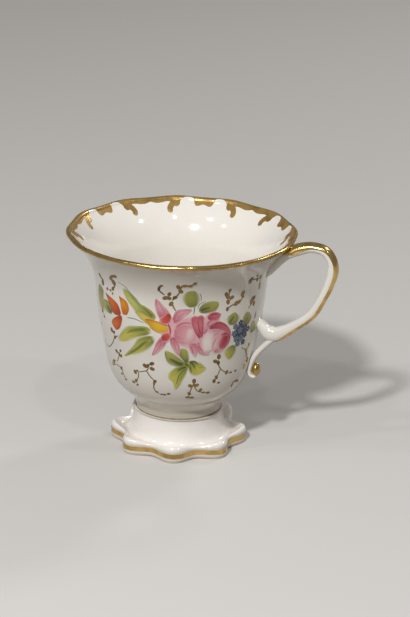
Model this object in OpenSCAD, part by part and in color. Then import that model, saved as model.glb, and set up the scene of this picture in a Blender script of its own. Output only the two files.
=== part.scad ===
// Footed porcelain moustache cup: flared bowl, scalloped foot, gilt scroll handle and a guard inside.
// Origin on the cup's axis at the plane it stands on, +Z up, handle towards +X, drinker at -Y.

/* [Bowl] */
// Outer diameter of the rim
rim_d = 90; // [80:1:110]
// Height of the rim above the table
rim_height = 86.7; // [80:0.1:100]
// Thickness of the porcelain wall
wall = 2.4; // [1.8:0.1:3.2]
// Thickness of the bowl's floor above the collar
floor_t = 3.2; // [2:0.1:5]

/* [Collar and joint] */
// Diameter of the turned collar under the bowl
collar_d = 35.6; // [32:0.2:40]
// Diameter of the collar where it stands on the joint
collar_foot_d = 34; // [30:0.2:38]
// Height of the turned collar
collar_h = 3.7; // [2.5:0.1:6]
// Thickness of the slip that joins the bowl to the foot
slip_t = 0.4; // [0.3:0.1:1]
// Diameter of the slip joint
slip_d = 34.4; // [30:0.2:38]

/* [Foot] */
// Diameter of the foot over the tips of two opposite lobes
foot_d = 53; // [46:0.5:64]
// Number of lobes round the foot
lobes = 8; // [6:1:12]
// How far the outline runs in between two lobes
lobe_depth = 3.6; // [1:0.1:5]
// Turn of the first lobe away from the handle
foot_turn = 14; // [0:1:45]
// Height of the foot up to the slip joint
foot_h = 14.4; // [11:0.1:20]
// Height of the upturned lip at the tip of a lobe
lip_h = 6.2; // [5:0.1:9]
// Height of the trough inside the lip
trough_h = 4.2; // [3:0.1:6]
// Radius of the trough inside the lip
trough_r = 21.4; // [19:0.1:23]
// Diameter of the recess under the foot
recess_d = 36; // [30:0.5:40]
// Depth of the recess under the foot
recess_h = 1.6; // [0.5:0.1:3]

/* [Handle] */
// How far the handle reaches past the rim
handle_out = 18; // [12:0.5:26]
// Thickness of the handle across its loop
handle_t = 3.9; // [3:0.1:6]
// Width of the handle's band
handle_w = 5; // [3.5:0.1:8]
// Thickness of the strut under the handle
strut_t = 2.9; // [2:0.1:4]
// Width of the strut
strut_w = 4.6; // [3:0.1:7]
// Diameter of the gilt bead in the strut's curl
bead_d = 3; // [2:0.1:4]
// Length of the gilt bead across the handle
bead_l = 5.2; // [3:0.1:8]

/* [Moustache guard] */
// Depth of the guard's top below the rim
guard_drop = 15; // [12:0.1:20]
// Thickness of the guard
guard_t = 2.2; // [1.6:0.1:3]
// How far the guard reaches in from the wall at its middle
guard_reach = 24; // [18:0.5:28]
// Radius of the hollow curve of the guard's free edge
guard_edge_r = 60; // [45:1:120]
// Width of the drinking slot, in from the wall
slot_w = 6.4; // [5:0.1:8]
// Half the angle that the drinking slot spans
slot_half_angle = 34; // [20:1:50]

/* [Gilding] */
// Thickness of the fired gilding
gilt_t = 0.15; // [0.1:0.05:0.3]
// Depth of the gilt line outside the lip
gilt_lip_out = 1.3; // [0.8:0.1:3]
// Depth of the gilt line inside the lip
gilt_lip_in = 1.6; // [0.8:0.1:3]
// Width of the gilt line round the foot
gilt_foot_w = 1.9; // [1:0.1:2.4]
// Height of the middle of the foot's gilt line
gilt_foot_z = 2.8; // [2:0.1:4]

/* [Hidden] */

// Smoothness of turned surfaces, and steps between two points of a drawn curve
$fn = 128;
curve_steps = 4;
lobe_steps = 14;
band_sides = 14;
bead_turn = 15;

// Overrun of every cut past the face that it leaves through
overrun = 1;
// Room left where the strut, the bead, the loop and its gilding lie against each other
seat_gap = 0.05;

// Heights that follow from the sizes above
rim_r = rim_d / 2;
lip_rise_share = 0.42;
slip_z = foot_h;
collar_z = slip_z + slip_t;
bowl_z = collar_z + collar_h;
wall_top_z = rim_height - wall * lip_rise_share;
bowl_h = wall_top_z - bowl_z;
floor_z = bowl_z + floor_t;
inside_h = wall_top_z - floor_z;
guard_z = rim_height - guard_drop;
lip_top_r = rim_r - wall / 2;
reach_r = rim_r + handle_out - handle_t / 2;

// Bowl's outside: share of the bowl's height, share of the way from the collar's radius to the rim's
bowl_shares = [
    [0, 0], [0.04, 0.07], [0.07, 0.17], [0.125, 0.287], [0.2, 0.371], [0.285, 0.426], [0.39, 0.472],
    [0.5, 0.521], [0.62, 0.562], [0.73, 0.592], [0.8, 0.63], [0.87, 0.712], [0.935, 0.835], [1, 1]
];
// Bowl's inside: share of the depth, share of the way from the axis to the wall's inner face
floor_shares = [[0, 0], [0.004, 0.5], [0.022, 0.75], [0.07, 0.92], [0.14, 1]];
// Lip's rounding: share of the wall's thickness in from its outer edge, share of the lip's rise
lip_shares = [[0.08, 0.5], [0.26, 0.86], [0.5, 1], [0.76, 0.8], [0.94, 0.4]];
// Foot's upper face from the trough to the joint: share of the way in, share of the way up
saddle_shares = [[0.25, 0.04], [0.5, 0.16], [0.75, 0.4], [0.9, 0.68]];

// Loop's middle line: share of the way from the wall to the reach, share of the rim's height,
// shares of the band's thickness and width
loop_shares = [
    [-0.04, 0.962, 1.5, 2.6], [0.06, 0.97, 1.35, 2.1], [0.19, 0.983, 1.12, 1.45],
    [0.46, 0.998, 0.95, 1.08], [0.77, 0.985, 0.92, 1], [0.95, 0.942, 0.95, 1], [1, 0.894, 1.08, 1],
    [0.943, 0.83, 0.98, 1], [0.875, 0.777, 0.95, 1], [0.73, 0.69, 1, 1], [0.5, 0.622, 1.05, 1],
    [0.29, 0.578, 1.3, 1.05], [0.12, 0.58, 1.5, 1.15], [-0.02, 0.605, 1.6, 1.3], [-0.1, 0.63, 1.6, 1.4]
];
// Strut's middle line, in the same way, ending in a curl under the bead
strut_shares = [
    [0.25, 0.556, 1, 1], [0.13, 0.515, 1, 1], [0.06, 0.475, 0.95, 1], [0.045, 0.435, 0.85, 1],
    [0.045, 0.4, 0.75, 1], [0.05, 0.375, 0.7, 1], [0.085, 0.357, 0.65, 1], [0.13, 0.362, 0.55, 0.95]
];
// Bead's middle, in the same way
bead_share = [0.105, 0.398];
// Part of the band's section that the gilding covers, and how full the section is
gilt_band_share = 0.33;
fullness_share = 0.8;

// Point on a smooth curve through four neighbours
function blend(a, b, c, d, t) =
    (2 * b + (c - a) * t + (2 * a - 5 * b + 4 * c - d) * t * t + (3 * b - a - 3 * c + d) * t * t * t) / 2;

// Smooth curve through a list of points, ends included
function smooth(p) = let (last = len(p) - 1) [
    for (i = [0 : last - 1], k = [0 : curve_steps - 1])
        blend(p[max(i - 1, 0)], p[i], p[i + 1], p[min(i + 2, last)], k / curve_steps),
    p[last]
];

// Bowl's outer face from the collar's top to the rim, as radius and height
collar_r = collar_d / 2;
bowl_outline = [
    for (s = smooth(bowl_shares)) [collar_r + (rim_r - collar_r) * s[1], bowl_z + bowl_h * s[0]]
];

// Outer radius of the bowl at a height
function bowl_r(z) = lookup(z, [for (p = bowl_outline) [p[1], p[0]]]);

// Bowl's inner face from the axis up to the lip
function inner_r(z) = bowl_r(z) - wall;
floor_top_z = floor_z + inside_h * floor_shares[len(floor_shares) - 1][0];
inside_outline = concat(
    [for (s = floor_shares) let (z = floor_z + inside_h * s[0]) [inner_r(z) * s[1], z]],
    [for (p = bowl_outline) if (p[1] > floor_top_z) [p[0] - wall, p[1]]]
);

// Lip's rounded top, from the outside over to the inside
lip_outline = [
    for (s = lip_shares) [rim_r - wall * s[0], wall_top_z + (rim_height - wall_top_z) * s[1]]
];

// Face of the lip that the gilding covers, outside to inside
gilt_outside = [for (p = bowl_outline) if (p[1] > wall_top_z - gilt_lip_out) p];
gilt_inside = [
    for (i = [len(inside_outline) - 1 : -1 : 0])
        if (inside_outline[i][1] > wall_top_z - gilt_lip_in) inside_outline[i]
];
lip_face = concat(gilt_outside, lip_outline, gilt_inside);
outside_count = len(gilt_outside) + len([for (p = lip_outline) if (p[0] > lip_top_r) p]);

// Point of the lip's face moved straight out by the gilding's thickness
function gilded(i) =
    let (u = heading(lip_face, i)) lip_face[i] + gilt_t * [u[1], -u[0]];

// Foot's scalloped outline, grown by a thickness
function foot_outline(grow) = [
    for (i = [0 : lobes * lobe_steps - 1])
        let (
            turn = 360 * i / (lobes * lobe_steps),
            dip = (1 - cos(lobes * turn)) / 2,
            r = foot_d / 2 - lobe_depth * dip + grow
        )
        r * [cos(turn + foot_turn), sin(turn + foot_turn)]
];

// Place of a handle's point in the plane of its loop, with the section's shares
function handle_point(s) =
    let (z = rim_height * s[1], r = bowl_r(z)) [r + s[0] * (reach_r - r), z, s[2], s[3]];

// Direction of a path at one of its points
function heading(path, i) =
    let (
        a = path[max(i - 1, 0)],
        b = path[min(i + 1, len(path) - 1)],
        step = [b[0] - a[0], b[1] - a[1]]
    )
    step / norm(step);

// Share of the half width, swollen a little so that the section is fuller than an ellipse
function full(share) = sign(share) * pow(abs(share), fullness_share);

// Point on the rounded section round a path, at a turn from its outer side
function band_point(path, i, turn, t, w, grow) =
    let (
        u = heading(path, i),
        out = full(cos(turn)) * (t * path[i][2] / 2 + grow),
        side = full(sin(turn)) * (w * path[i][3] / 2 + grow)
    )
    [path[i][0] - u[1] * out, side, path[i][1] + u[0] * out];

// Faces of a closed skin over rings of equal length
function skin_faces(rings, sides) = concat(
    [[for (j = [sides - 1 : -1 : 0]) j]],
    [for (i = [0 : rings - 2], j = [0 : sides - 1])
        let (k = (j + 1) % sides, a = i * sides, b = a + sides)
        each [[a + j, b + k, b + j], [a + j, a + k, b + k]]],
    [[for (j = [0 : sides - 1]) (rings - 1) * sides + j]]
);

// Solid swept along a path with a rounded section
module swept_band(path, t, w) {
    points = [
        for (i = [0 : len(path) - 1], j = [0 : band_sides - 1])
            band_point(path, i, 360 * j / band_sides, t, w, 0)
    ];
    polyhedron(points, skin_faces(len(path), band_sides));
}

loop_path = [for (s = smooth(loop_shares)) handle_point(s)];
strut_path = [for (s = smooth(strut_shares)) handle_point(s)];

// Everything inside the bowl's outer face and its gilding, and over the lip's inner half
module cup_envelope() {
    rotate_extrude()
        polygon(concat(
            [[0, bowl_z]],
            [for (p = bowl_outline) if (p[1] <= gilt_outside[0][1]) p],
            [for (i = [0 : outside_count - 1]) gilded(i)],
            [[lip_top_r, rim_height + overrun], [0, rim_height + overrun]]
        ));
}

// Everything inside the bowl's inner face
module cup_inside() {
    rotate_extrude()
        polygon(concat(inside_outline, [[0, wall_top_z]]));
}

module bowl() {
    color("whitesmoke")
        rotate_extrude()
            polygon(concat(
                [[0, collar_z], [collar_foot_d / 2, collar_z]],
                bowl_outline,
                lip_outline,
                [for (i = [len(inside_outline) - 1 : -1 : 0]) inside_outline[i]]
            ));
}

module slip_joint() {
    color("saddlebrown")
        translate([0, 0, slip_z])
            cylinder(h = slip_t, d = slip_d);
}

module foot() {
    rise = foot_h - trough_h;
    run = trough_r - slip_d / 2;
    color("white")
        difference() {
            intersection() {
                linear_extrude(foot_h)
                    polygon(foot_outline(0));
                rotate_extrude()
                    polygon(concat(
                        [[0, 0], [foot_d / 2, 0], [foot_d / 2, lip_h], [trough_r, trough_h]],
                        [for (s = saddle_shares) [trough_r - run * s[0], trough_h + rise * s[1]]],
                        [[slip_d / 2, foot_h], [0, foot_h]]
                    ));
            }
            translate([0, 0, -overrun])
                cylinder(h = recess_h + overrun, d = recess_d);
        }
}

module handle_loop() {
    color("ivory")
        difference() {
            swept_band(loop_path, handle_t, handle_w);
            cup_envelope();
        }
}

module handle_strut() {
    color("ivory")
        difference() {
            swept_band(strut_path, strut_t, strut_w);
            swept_band(loop_path, handle_t + 2 * seat_gap, handle_w + 2 * seat_gap);
            cup_envelope();
            bead_body(seat_gap);
        }
}

// Rounded bead lying across the handle, grown by a gap
module bead_body(grow) {
    middle = handle_point(concat(bead_share, [1, 1]));
    r = bead_d / 2 + grow;
    straight = bead_l / 2 - bead_d / 2;
    translate([middle[0], 0, middle[1]])
        rotate([90, 0, 0])
            rotate_extrude()
                polygon(concat(
                    [for (turn = [-90 : bead_turn : 0]) [r * cos(turn), r * sin(turn) - straight]],
                    [for (turn = [0 : bead_turn : 90]) [r * cos(turn), r * sin(turn) + straight]]
                ));
}

module strut_bead() {
    color("goldenrod")
        bead_body(0);
}

module moustache_guard() {
    wall_r = inner_r(guard_z);
    edge_y = guard_edge_r + guard_reach - wall_r;
    color("whitesmoke")
        difference() {
            intersection() {
                translate([-rim_r, -rim_r, guard_z - guard_t])
                    cube([rim_d, rim_d, guard_t]);
                cup_inside();
            }
            translate([0, edge_y, guard_z - guard_t - overrun])
                cylinder(h = guard_t + 2 * overrun, r = guard_edge_r);
            drinking_slot(wall_r);
        }
}

// Crescent between the guard and the wall on the drinker's side
module drinking_slot(wall_r) {
    middle_r = wall_r - slot_w / 2;
    translate([0, 0, guard_z - guard_t - overrun]) {
        rotate([0, 0, -90 - slot_half_angle])
            rotate_extrude(angle = 2 * slot_half_angle)
                translate([wall_r - slot_w, 0])
                    square([slot_w + overrun, guard_t + 2 * overrun]);
        for (end = [-1, 1])
            rotate([0, 0, -90 + end * slot_half_angle])
                translate([middle_r, 0, 0])
                    cylinder(h = guard_t + 2 * overrun, d = slot_w);
    }
}

module rim_gilding() {
    last = len(lip_face) - 1;
    color("goldenrod")
        rotate_extrude()
            polygon(concat(
                lip_face,
                [for (i = [last : -1 : 0]) gilded(i)]
            ));
}

module handle_gilding() {
    half = ceil(band_sides * gilt_band_share / 2);
    turns = [for (j = [-half : half]) 360 * j / band_sides];
    stations = [2 * curve_steps - 1 : len(loop_path) - 1 - 4 * curve_steps];
    points = [
        for (i = stations)
            each concat(
                [for (turn = turns)
                    band_point(loop_path, i, turn, handle_t, handle_w, seat_gap + gilt_t)],
                [for (j = [len(turns) - 1 : -1 : 0])
                    band_point(loop_path, i, turns[j], handle_t, handle_w, seat_gap)]
            )
    ];
    sides = 2 * len(turns);
    color("goldenrod")
        polyhedron(points, skin_faces(len(points) / sides, sides));
}

module foot_gilding() {
    color("goldenrod")
        translate([0, 0, gilt_foot_z - gilt_foot_w / 2])
            linear_extrude(gilt_foot_w)
                difference() {
                    polygon(foot_outline(gilt_t));
                    polygon(foot_outline(0));
                }
}

bowl();
slip_joint();
foot();
handle_loop();
handle_strut();
strut_bead();
moustache_guard();
rim_gilding();
handle_gilding();
foot_gilding();
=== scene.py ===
"""Looks of the moustache cup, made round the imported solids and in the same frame."""
import math

import bpy
import numpy as np
from mathutils import Matrix, Vector


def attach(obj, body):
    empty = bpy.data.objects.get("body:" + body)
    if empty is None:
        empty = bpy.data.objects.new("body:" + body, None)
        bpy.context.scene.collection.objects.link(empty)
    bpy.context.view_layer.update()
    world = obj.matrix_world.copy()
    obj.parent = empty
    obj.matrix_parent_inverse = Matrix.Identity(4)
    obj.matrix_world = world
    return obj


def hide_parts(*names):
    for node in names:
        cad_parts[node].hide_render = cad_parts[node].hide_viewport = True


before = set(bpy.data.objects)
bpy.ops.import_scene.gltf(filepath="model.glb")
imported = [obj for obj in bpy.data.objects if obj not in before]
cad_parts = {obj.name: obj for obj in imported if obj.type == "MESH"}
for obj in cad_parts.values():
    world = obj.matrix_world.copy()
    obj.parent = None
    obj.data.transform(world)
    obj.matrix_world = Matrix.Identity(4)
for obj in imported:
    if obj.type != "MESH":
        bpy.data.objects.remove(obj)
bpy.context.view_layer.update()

# Sizes are in millimetres and degrees; the lamps, the floor and the noise scales go by metres
MM = 0.001

# Bowl: outer face from the collar's top to the rim, as radius and height
BOWL_WALL = [
    (17.8, 18.5), (19.7, 21.2), (22.4, 23.2), (25.6, 26.9), (27.9, 31.9), (29.4, 37.7), (30.6, 44.7),
    (32.0, 52.1), (33.1, 60.2), (33.9, 67.6), (34.9, 72.4), (37.2, 77.3), (40.5, 81.8), (45.0, 86.3),
]
WALL = 2.4
COLLAR = [
    (0.0, 14.8), (12.0, 14.8), (16.7, 14.8), (17.0, 15.0), (17.05, 15.6), (17.1, 16.3), (17.2, 17.1),
    (17.42, 17.9),
]
LIP = [(44.8, 86.8), (44.4, 87.15), (43.8, 87.3), (43.2, 87.1), (42.75, 86.7)]
FLOOR = [
    (24.6, 30.6), (22.9, 28.0), (20.6, 26.0), (17.6, 24.3), (14.4, 23.1), (9.0, 22.1), (3.0, 21.75),
    (0.0, 21.72),
]
RIM_H = 87.3
INSIDE_FLOOR_H = 31.5
BOWL_SIDES = 280
LINE_STEPS = 4

# Soft scallops pressed into the rim
SCALLOPS = 12
DIP_TURN = 7.0
SCALLOP_FROM = 71.0
SCALLOP_DEPTH = 0.6
SCALLOP_DROP = 0.25

# Foot: radius and height of each ring at the lobes, then at the dips between them
LOBES = 8
LOBE_TURN = 14.0
FOOT_SIDES = 256
FOOT_STEPS = 3
FOOT_RINGS = [
    (0.0, 1.6, 0.0, 1.6), (17.6, 1.6, 17.6, 1.6), (18.0, 1.4, 18.0, 1.4), (18.1, 0.3, 18.1, 0.3),
    (18.5, 0.0, 18.5, 0.0), (25.9, 0.0, 21.9, 0.0), (26.7, 0.35, 22.65, 0.35), (26.95, 1.1, 22.9, 1.1),
    (26.85, 1.7, 22.8, 1.7), (26.75, 2.8, 22.7, 2.8), (26.85, 3.8, 22.8, 3.7), (26.95, 4.8, 22.9, 4.3),
    (26.75, 5.8, 22.75, 4.75), (26.1, 6.45, 22.3, 5.05), (25.2, 6.4, 21.7, 5.0), (24.2, 5.5, 21.2, 4.75),
    (23.2, 4.5, 20.8, 4.6), (22.2, 4.1, 20.4, 4.7), (21.2, 4.15, 19.9, 5.0), (20.3, 4.7, 19.3, 5.8),
    (19.3, 5.95, 18.7, 7.0), (18.25, 8.4, 18.1, 8.8), (17.6, 11.2, 17.55, 11.3), (17.3, 13.4, 17.3, 13.4),
    (17.2, 14.35, 17.2, 14.35), (16.6, 14.4, 16.6, 14.4), (0.0, 14.4, 0.0, 14.4),
]

# Lobes whose lips stand higher, as turn and rise, and where on a lobe its lip begins
HIGH_LIPS = [(59, 1.7), (149, 1.2), (104, 0.8)]
LOBE_LIP_H, LOBE_LIP_TOP, LOBE_LIP_SPREAD = 4.4, 6.0, 15.0
LOBE_LIP_R, LOBE_LIP_DEPTH = 22.4, 1.4

# Slip squeezed out between the collar and the foot, and the waves in its edge as share, count and shift
SLIP = [
    (15.0, 14.36), (16.95, 14.36), (17.08, 14.44), (17.12, 14.6), (17.06, 14.76), (16.9, 14.84),
    (15.0, 14.84),
]
SLIP_WAVES = [(0.002, 5, 0.4), (0.0015, 13, 0.0)]

# Handle: out from the axis, up, thickness and width of the band at each station
LOOP = [
    (34.4, 72.4, 1.0, 3.0), (36.3, 75.1, 2.8, 5.0), (38.4, 78.1, 3.7, 6.6), (40.9, 80.9, 3.9, 8.2),
    (43.8, 83.3, 3.9, 9.0), (47.4, 85.1, 4.4, 7.4), (52.4, 86.5, 3.7, 5.4), (57.6, 85.7, 3.6, 5.0),
    (60.5, 82.1, 3.7, 5.0), (61.0, 77.5, 4.2, 5.0), (59.6, 72.0, 3.8, 5.0), (57.7, 67.4, 3.7, 5.0),
    (53.5, 59.8, 3.9, 5.0), (46.6, 53.9, 4.1, 5.0), (40.3, 49.8, 5.5, 5.2), (36.8, 49.5, 6.2, 5.6),
    (34.8, 50.8, 4.8, 5.8), (33.1, 52.7, 3.6, 5.8), (31.2, 54.4, 3.0, 5.6),
]
STRUT = [
    (40.0, 49.6, 2.4, 4.4), (37.8, 47.1, 2.5, 4.4), (35.1, 44.3, 2.5, 4.4), (32.2, 40.9, 2.5, 4.4),
    (30.3, 37.6, 2.4, 4.4), (29.5, 34.9, 2.1, 4.4), (29.2, 32.7, 1.9, 4.4), (29.9, 31.2, 1.7, 4.4),
    (31.2, 30.9, 1.4, 4.4), (31.9, 31.4, 0.9, 4.2),
]
SECTION_SIDES = 20
SECTION_FULLNESS = 0.8
STATION_STEPS = 5
BEAD_OUT, BEAD_UP = 31.7, 33.8
BEAD_SIZE = (3.4, 4.8, 5.2)
BEAD_TAPER = 0.15
BEAD_SIDES, BEAD_RINGS = 32, 20

# Gilding: its lift off the glaze and its depth below, and the lift of the lip's gold along its run
GILT_LIFT = 0.1
GILT_SINK = 0.1
LIP_GILT_OUT_H = 84.8
LIP_GILT_LIFTS = [(0, 0.02), (0.12, 0.16), (0.3, 0.16), (0.4, 0.03), (0.5, 0.1), (0.9, 0.1), (1, 0.02)]
FOOT_GILT_LOW, FOOT_GILT_HIGH = 1.9, 3.7
FOOT_GILT_REACH = 0.3
FOOT_GILT_ROWS = 6

# Gilding of the handle: shares of the loop's length, then how far it spreads to each side along them
GILT_FROM, GILT_TO = 0.185, 0.795
GILT_SPREAD = [
    (0, 30), (0.03, 56), (0.06, 76), (0.1, 98), (0.15, 104), (0.24, 90), (0.36, 77), (0.46, 72), (0.9, 72),
    (0.96, 60), (1, 12),
]
GILT_ROWS = 14


def rgb(red, green, blue):
    """A colour as it shows on a screen, from 0 to 255, as the shaders take it."""
    shares = np.array([red, green, blue]) / 255
    plain = np.where(shares <= 0.04045, shares / 12.92, ((shares + 0.055) / 1.055) ** 2.4)
    return (*plain.tolist(), 1.0)


def smooth_line(points, steps):
    """Points on a smooth curve through all of these."""
    given = np.array(points, float)
    ends = np.vstack([given[:1], given, given[-1:]])
    t = np.arange(steps)[:, None] / steps
    runs = [
        b + (c - a) * t / 2 + (2 * a - 5 * b + 4 * c - d) * t**2 / 2 + (3 * b - a - 3 * c + d) * t**3 / 2
        for a, b, c, d in zip(ends, ends[1:], ends[2:], ends[3:])
    ]
    return np.vstack([*runs, given[-1:]])


def ways_of(line):
    """Which way a line runs at each of its points."""
    way = np.gradient(line, axis=0)
    return way / np.hypot(*way.T)[:, None]


def runs_of(line):
    """How far along a line each of its points is."""
    return np.r_[0, np.cumsum(np.hypot(*np.diff(line, axis=0).T))]


def offset_line(points, by):
    """A line of radii and heights moved to the right of the way it runs."""
    way = ways_of(points)
    return points + by * np.column_stack([way[:, 1], -way[:, 0]])


def swung(radius, turn):
    """A flat place at this radius and turn from the middle."""
    return radius * np.array([math.cos(math.radians(turn)), math.sin(math.radians(turn))])


# The bowl's own lines, and the two faces that paint and gold are laid on
wall_line = smooth_line(BOWL_WALL, LINE_STEPS)
lip_line = smooth_line([wall_line[-1], *LIP, wall_line[-1] - [WALL, 0]], LINE_STEPS)
lip_top = np.argmax(lip_line[:, 1])
inside = [(r - WALL, h) for r, h in wall_line[-2::-1] if h > INSIDE_FLOOR_H]
inner_line = np.vstack([lip_line[lip_top:], inside])
wall_run = runs_of(wall_line)
OUTSIDE, INSIDE = (wall_line, wall_run), (inner_line, runs_of(inner_line))


def run_at(height):
    """How far up the wall a height is, along the wall."""
    return np.interp(height, wall_line[:, 1], wall_run)


def on_face(face, turn, run, lift):
    """Point on one of the bowl's faces: degrees round, millimetres along it, millimetres off it."""
    line, runs = face
    middle = np.column_stack([np.interp(run, runs, column) for column in line.T])
    facing = np.column_stack([np.interp(run, runs, column) for column in (offset_line(line, 1) - line).T])
    radius, height = (middle + np.reshape(lift, (-1, 1)) * facing).T
    turn = np.radians(turn)
    return np.column_stack([radius * np.cos(turn), radius * np.sin(turn), height]) * MM


def scalloped(points):
    """Points near the rim pressed in at even dips."""
    turn = np.arctan2(points[:, 1], points[:, 0])
    dip = (1 + np.cos(SCALLOPS * (turn - math.radians(DIP_TURN)))) / 2
    near = np.clip((points[:, 2] / MM - SCALLOP_FROM) / (RIM_H - SCALLOP_FROM), 0, 1) ** 2
    inward = 1 - SCALLOP_DEPTH * MM * near * dip / np.maximum(np.hypot(points[:, 0], points[:, 1]), MM)
    return np.column_stack([points[:, :2] * inward[:, None], points[:, 2] - SCALLOP_DROP * MM * near * dip])


# Modelling by hand
MERGE = 0.001
SHADE_ANGLE, PAINT_SHADE_ANGLE = 40, 30


def pick(*pieces):
    """These pieces alone in the selection, the first of them active."""
    bpy.ops.object.select_all(action="DESELECT")
    for piece in pieces:
        piece.select_set(True)
    bpy.context.view_layer.objects.active = pieces[0]


def start(name, primitive, **values):
    """A new primitive, alone in the selection, with its place in its mesh."""
    bpy.ops.object.select_all(action="DESELECT")
    primitive(**values)
    bpy.ops.object.transform_apply(location=True, rotation=True, scale=True)
    made = bpy.context.object
    made.name = name
    return made


def read_points(piece):
    points = np.empty(len(piece.data.vertices) * 3)
    piece.data.vertices.foreach_get("co", points)
    return points.reshape(-1, 3)


def write_points(piece, points):
    piece.data.vertices.foreach_set("co", np.ravel(points))
    piece.data.update()


def use_modifier(piece, kind, **values):
    bpy.context.view_layer.objects.active = piece
    made = piece.modifiers.new(kind.title(), kind)
    for name, value in values.items():
        setattr(made, name, value)
    bpy.ops.object.modifier_apply(modifier=made.name)


def smooth_over(piece):
    use_modifier(piece, "SUBSURF", levels=1, render_levels=1)


def give_wall(piece, thickness):
    """A sheet made into a closed body, with its thickness below the sheet."""
    use_modifier(piece, "SOLIDIFY", thickness=thickness * MM, offset=-1)


def at_bench(piece, *steps):
    """Steps in edit mode, each with the whole piece selected; last of all its faces are turned outwards."""
    pick(piece)
    bpy.ops.object.mode_set(mode="EDIT")
    for step in (*steps, turn_outwards):
        bpy.ops.mesh.select_all(action="SELECT")
        step()
    bpy.ops.object.mode_set(mode="OBJECT")


def turn_outwards():
    bpy.ops.mesh.normals_make_consistent(inside=False)


def merge_doubles():
    bpy.ops.mesh.remove_doubles(threshold=MERGE * MM)


def fill_ends():
    bpy.ops.mesh.select_all(action="DESELECT")
    bpy.ops.mesh.select_mode(type="EDGE")
    bpy.ops.mesh.select_non_manifold(extend=False)
    bpy.ops.mesh.fill_holes(sides=0)


def closed_line(name, points):
    """A closed line through these points."""
    line = start(name, bpy.ops.mesh.primitive_circle_add, vertices=len(points), radius=MM)
    write_points(line, points * MM)
    return line


def turn_on_wheel(name, sides, outline):
    """Body of revolution: a closed outline of radii and heights, spun round the axis."""
    radii, heights = np.array(outline, float).T
    piece = closed_line(name, np.column_stack([radii, np.zeros_like(radii), heights]))

    def spin():
        bpy.ops.mesh.spin(steps=sides, angle=2 * math.pi, center=(0, 0, 0), axis=(0, 0, 1))

    def drop_loose():
        bpy.ops.mesh.delete_loose(use_faces=False)

    at_bench(piece, spin, merge_doubles, drop_loose)
    return piece


def shape_sheet(name, along, across, place):
    """Flat grid whose points are carried to their places; its map keeps how far along and across they are."""
    sheet = start(name, bpy.ops.mesh.primitive_grid_add, x_subdivisions=along, y_subdivisions=across, size=1)
    u, v = read_points(sheet)[:, :2].T + 0.5
    write_points(sheet, place(u, v))
    return sheet


def join_up(name, parts):
    pick(*parts)
    bpy.ops.object.join()
    joined = bpy.context.object
    joined.name = name
    return joined


def copy_of(piece):
    pick(piece)
    bpy.ops.object.duplicate(linked=False)
    return bpy.context.object


def set_down(piece, material, slot, *nodes, angle=SHADE_ANGLE):
    """Shades a finished piece, gives it its material and its place, and hides the solids that it stands for.
    """
    pick(piece)
    bpy.ops.object.shade_smooth_by_angle(angle=math.radians(angle))
    if material:
        piece.data.materials.clear()
        piece.data.materials.append(material)
    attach(piece, "root")
    if nodes:
        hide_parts(*nodes)


# Finishes
def put(tree, kind, settings=None, **sockets):
    """A shader node with each named input set to a value or joined to an output."""
    made = tree.nodes.new("ShaderNode" + kind)
    for name, value in (settings or {}).items():
        setattr(made, name, value)
    for name, value in sockets.items():
        feed(tree, value, made.inputs[name.replace("_", " ")])
    return made


def feed(tree, value, socket):
    if isinstance(value, bpy.types.NodeSocket):
        tree.links.new(value, socket)
    else:
        socket.default_value = value


def sums(tree, operation, *values):
    made = put(tree, "Math", {"operation": operation})
    for socket, value in zip(made.inputs, values):
        feed(tree, value, socket)
    return made.outputs[0]


def times(tree, first, second):
    return sums(tree, "MULTIPLY", first, second)


def times_plus(tree, first, second, third):
    return sums(tree, "MULTIPLY_ADD", first, second, third)


def less(tree, first, second):
    return sums(tree, "SUBTRACT", first, second)


def rise(tree, value, low, high, to_low=0.0, to_high=1.0):
    """Soft step from one level to another as a value goes from low to high."""
    made = put(
        tree, "MapRange", {"interpolation_type": "SMOOTHSTEP"},
        Value=value, From_Min=low, From_Max=high, To_Min=to_low, To_Max=to_high,
    )
    return made.outputs[0]


# Numbers of the colour sockets on a mix node
MIX_SOCKETS, MIXED = (0, 6, 7), 2


def mix(tree, factor, first, second):
    made = put(tree, "Mix", {"data_type": "RGBA", "blend_type": "MIX"})
    for number, value in zip(MIX_SOCKETS, (factor, first, second)):
        feed(tree, value, made.inputs[number])
    return made.outputs[MIXED]


def noise(tree, place, scale, detail, **more):
    return put(tree, "TexNoise", Vector=place, Scale=scale, Detail=detail, **more).outputs[0]


def object_place(tree):
    return put(tree, "TexCoord").outputs["Object"]


def new_group(name, takes, gives):
    """A node group with named inputs and outputs, and the sockets inside it."""
    group = bpy.data.node_groups.new(name, "ShaderNodeTree")
    for label, value in takes.items():
        kind = "NodeSocketColor" if isinstance(value, tuple) else "NodeSocketFloat"
        group.interface.new_socket(label, in_out="INPUT", socket_type=kind).default_value = value
    for label, kind in gives.items():
        group.interface.new_socket(label, in_out="OUTPUT", socket_type="NodeSocket" + kind)
    return group, group.nodes.new("NodeGroupInput").outputs, group.nodes.new("NodeGroupOutput").inputs


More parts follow.
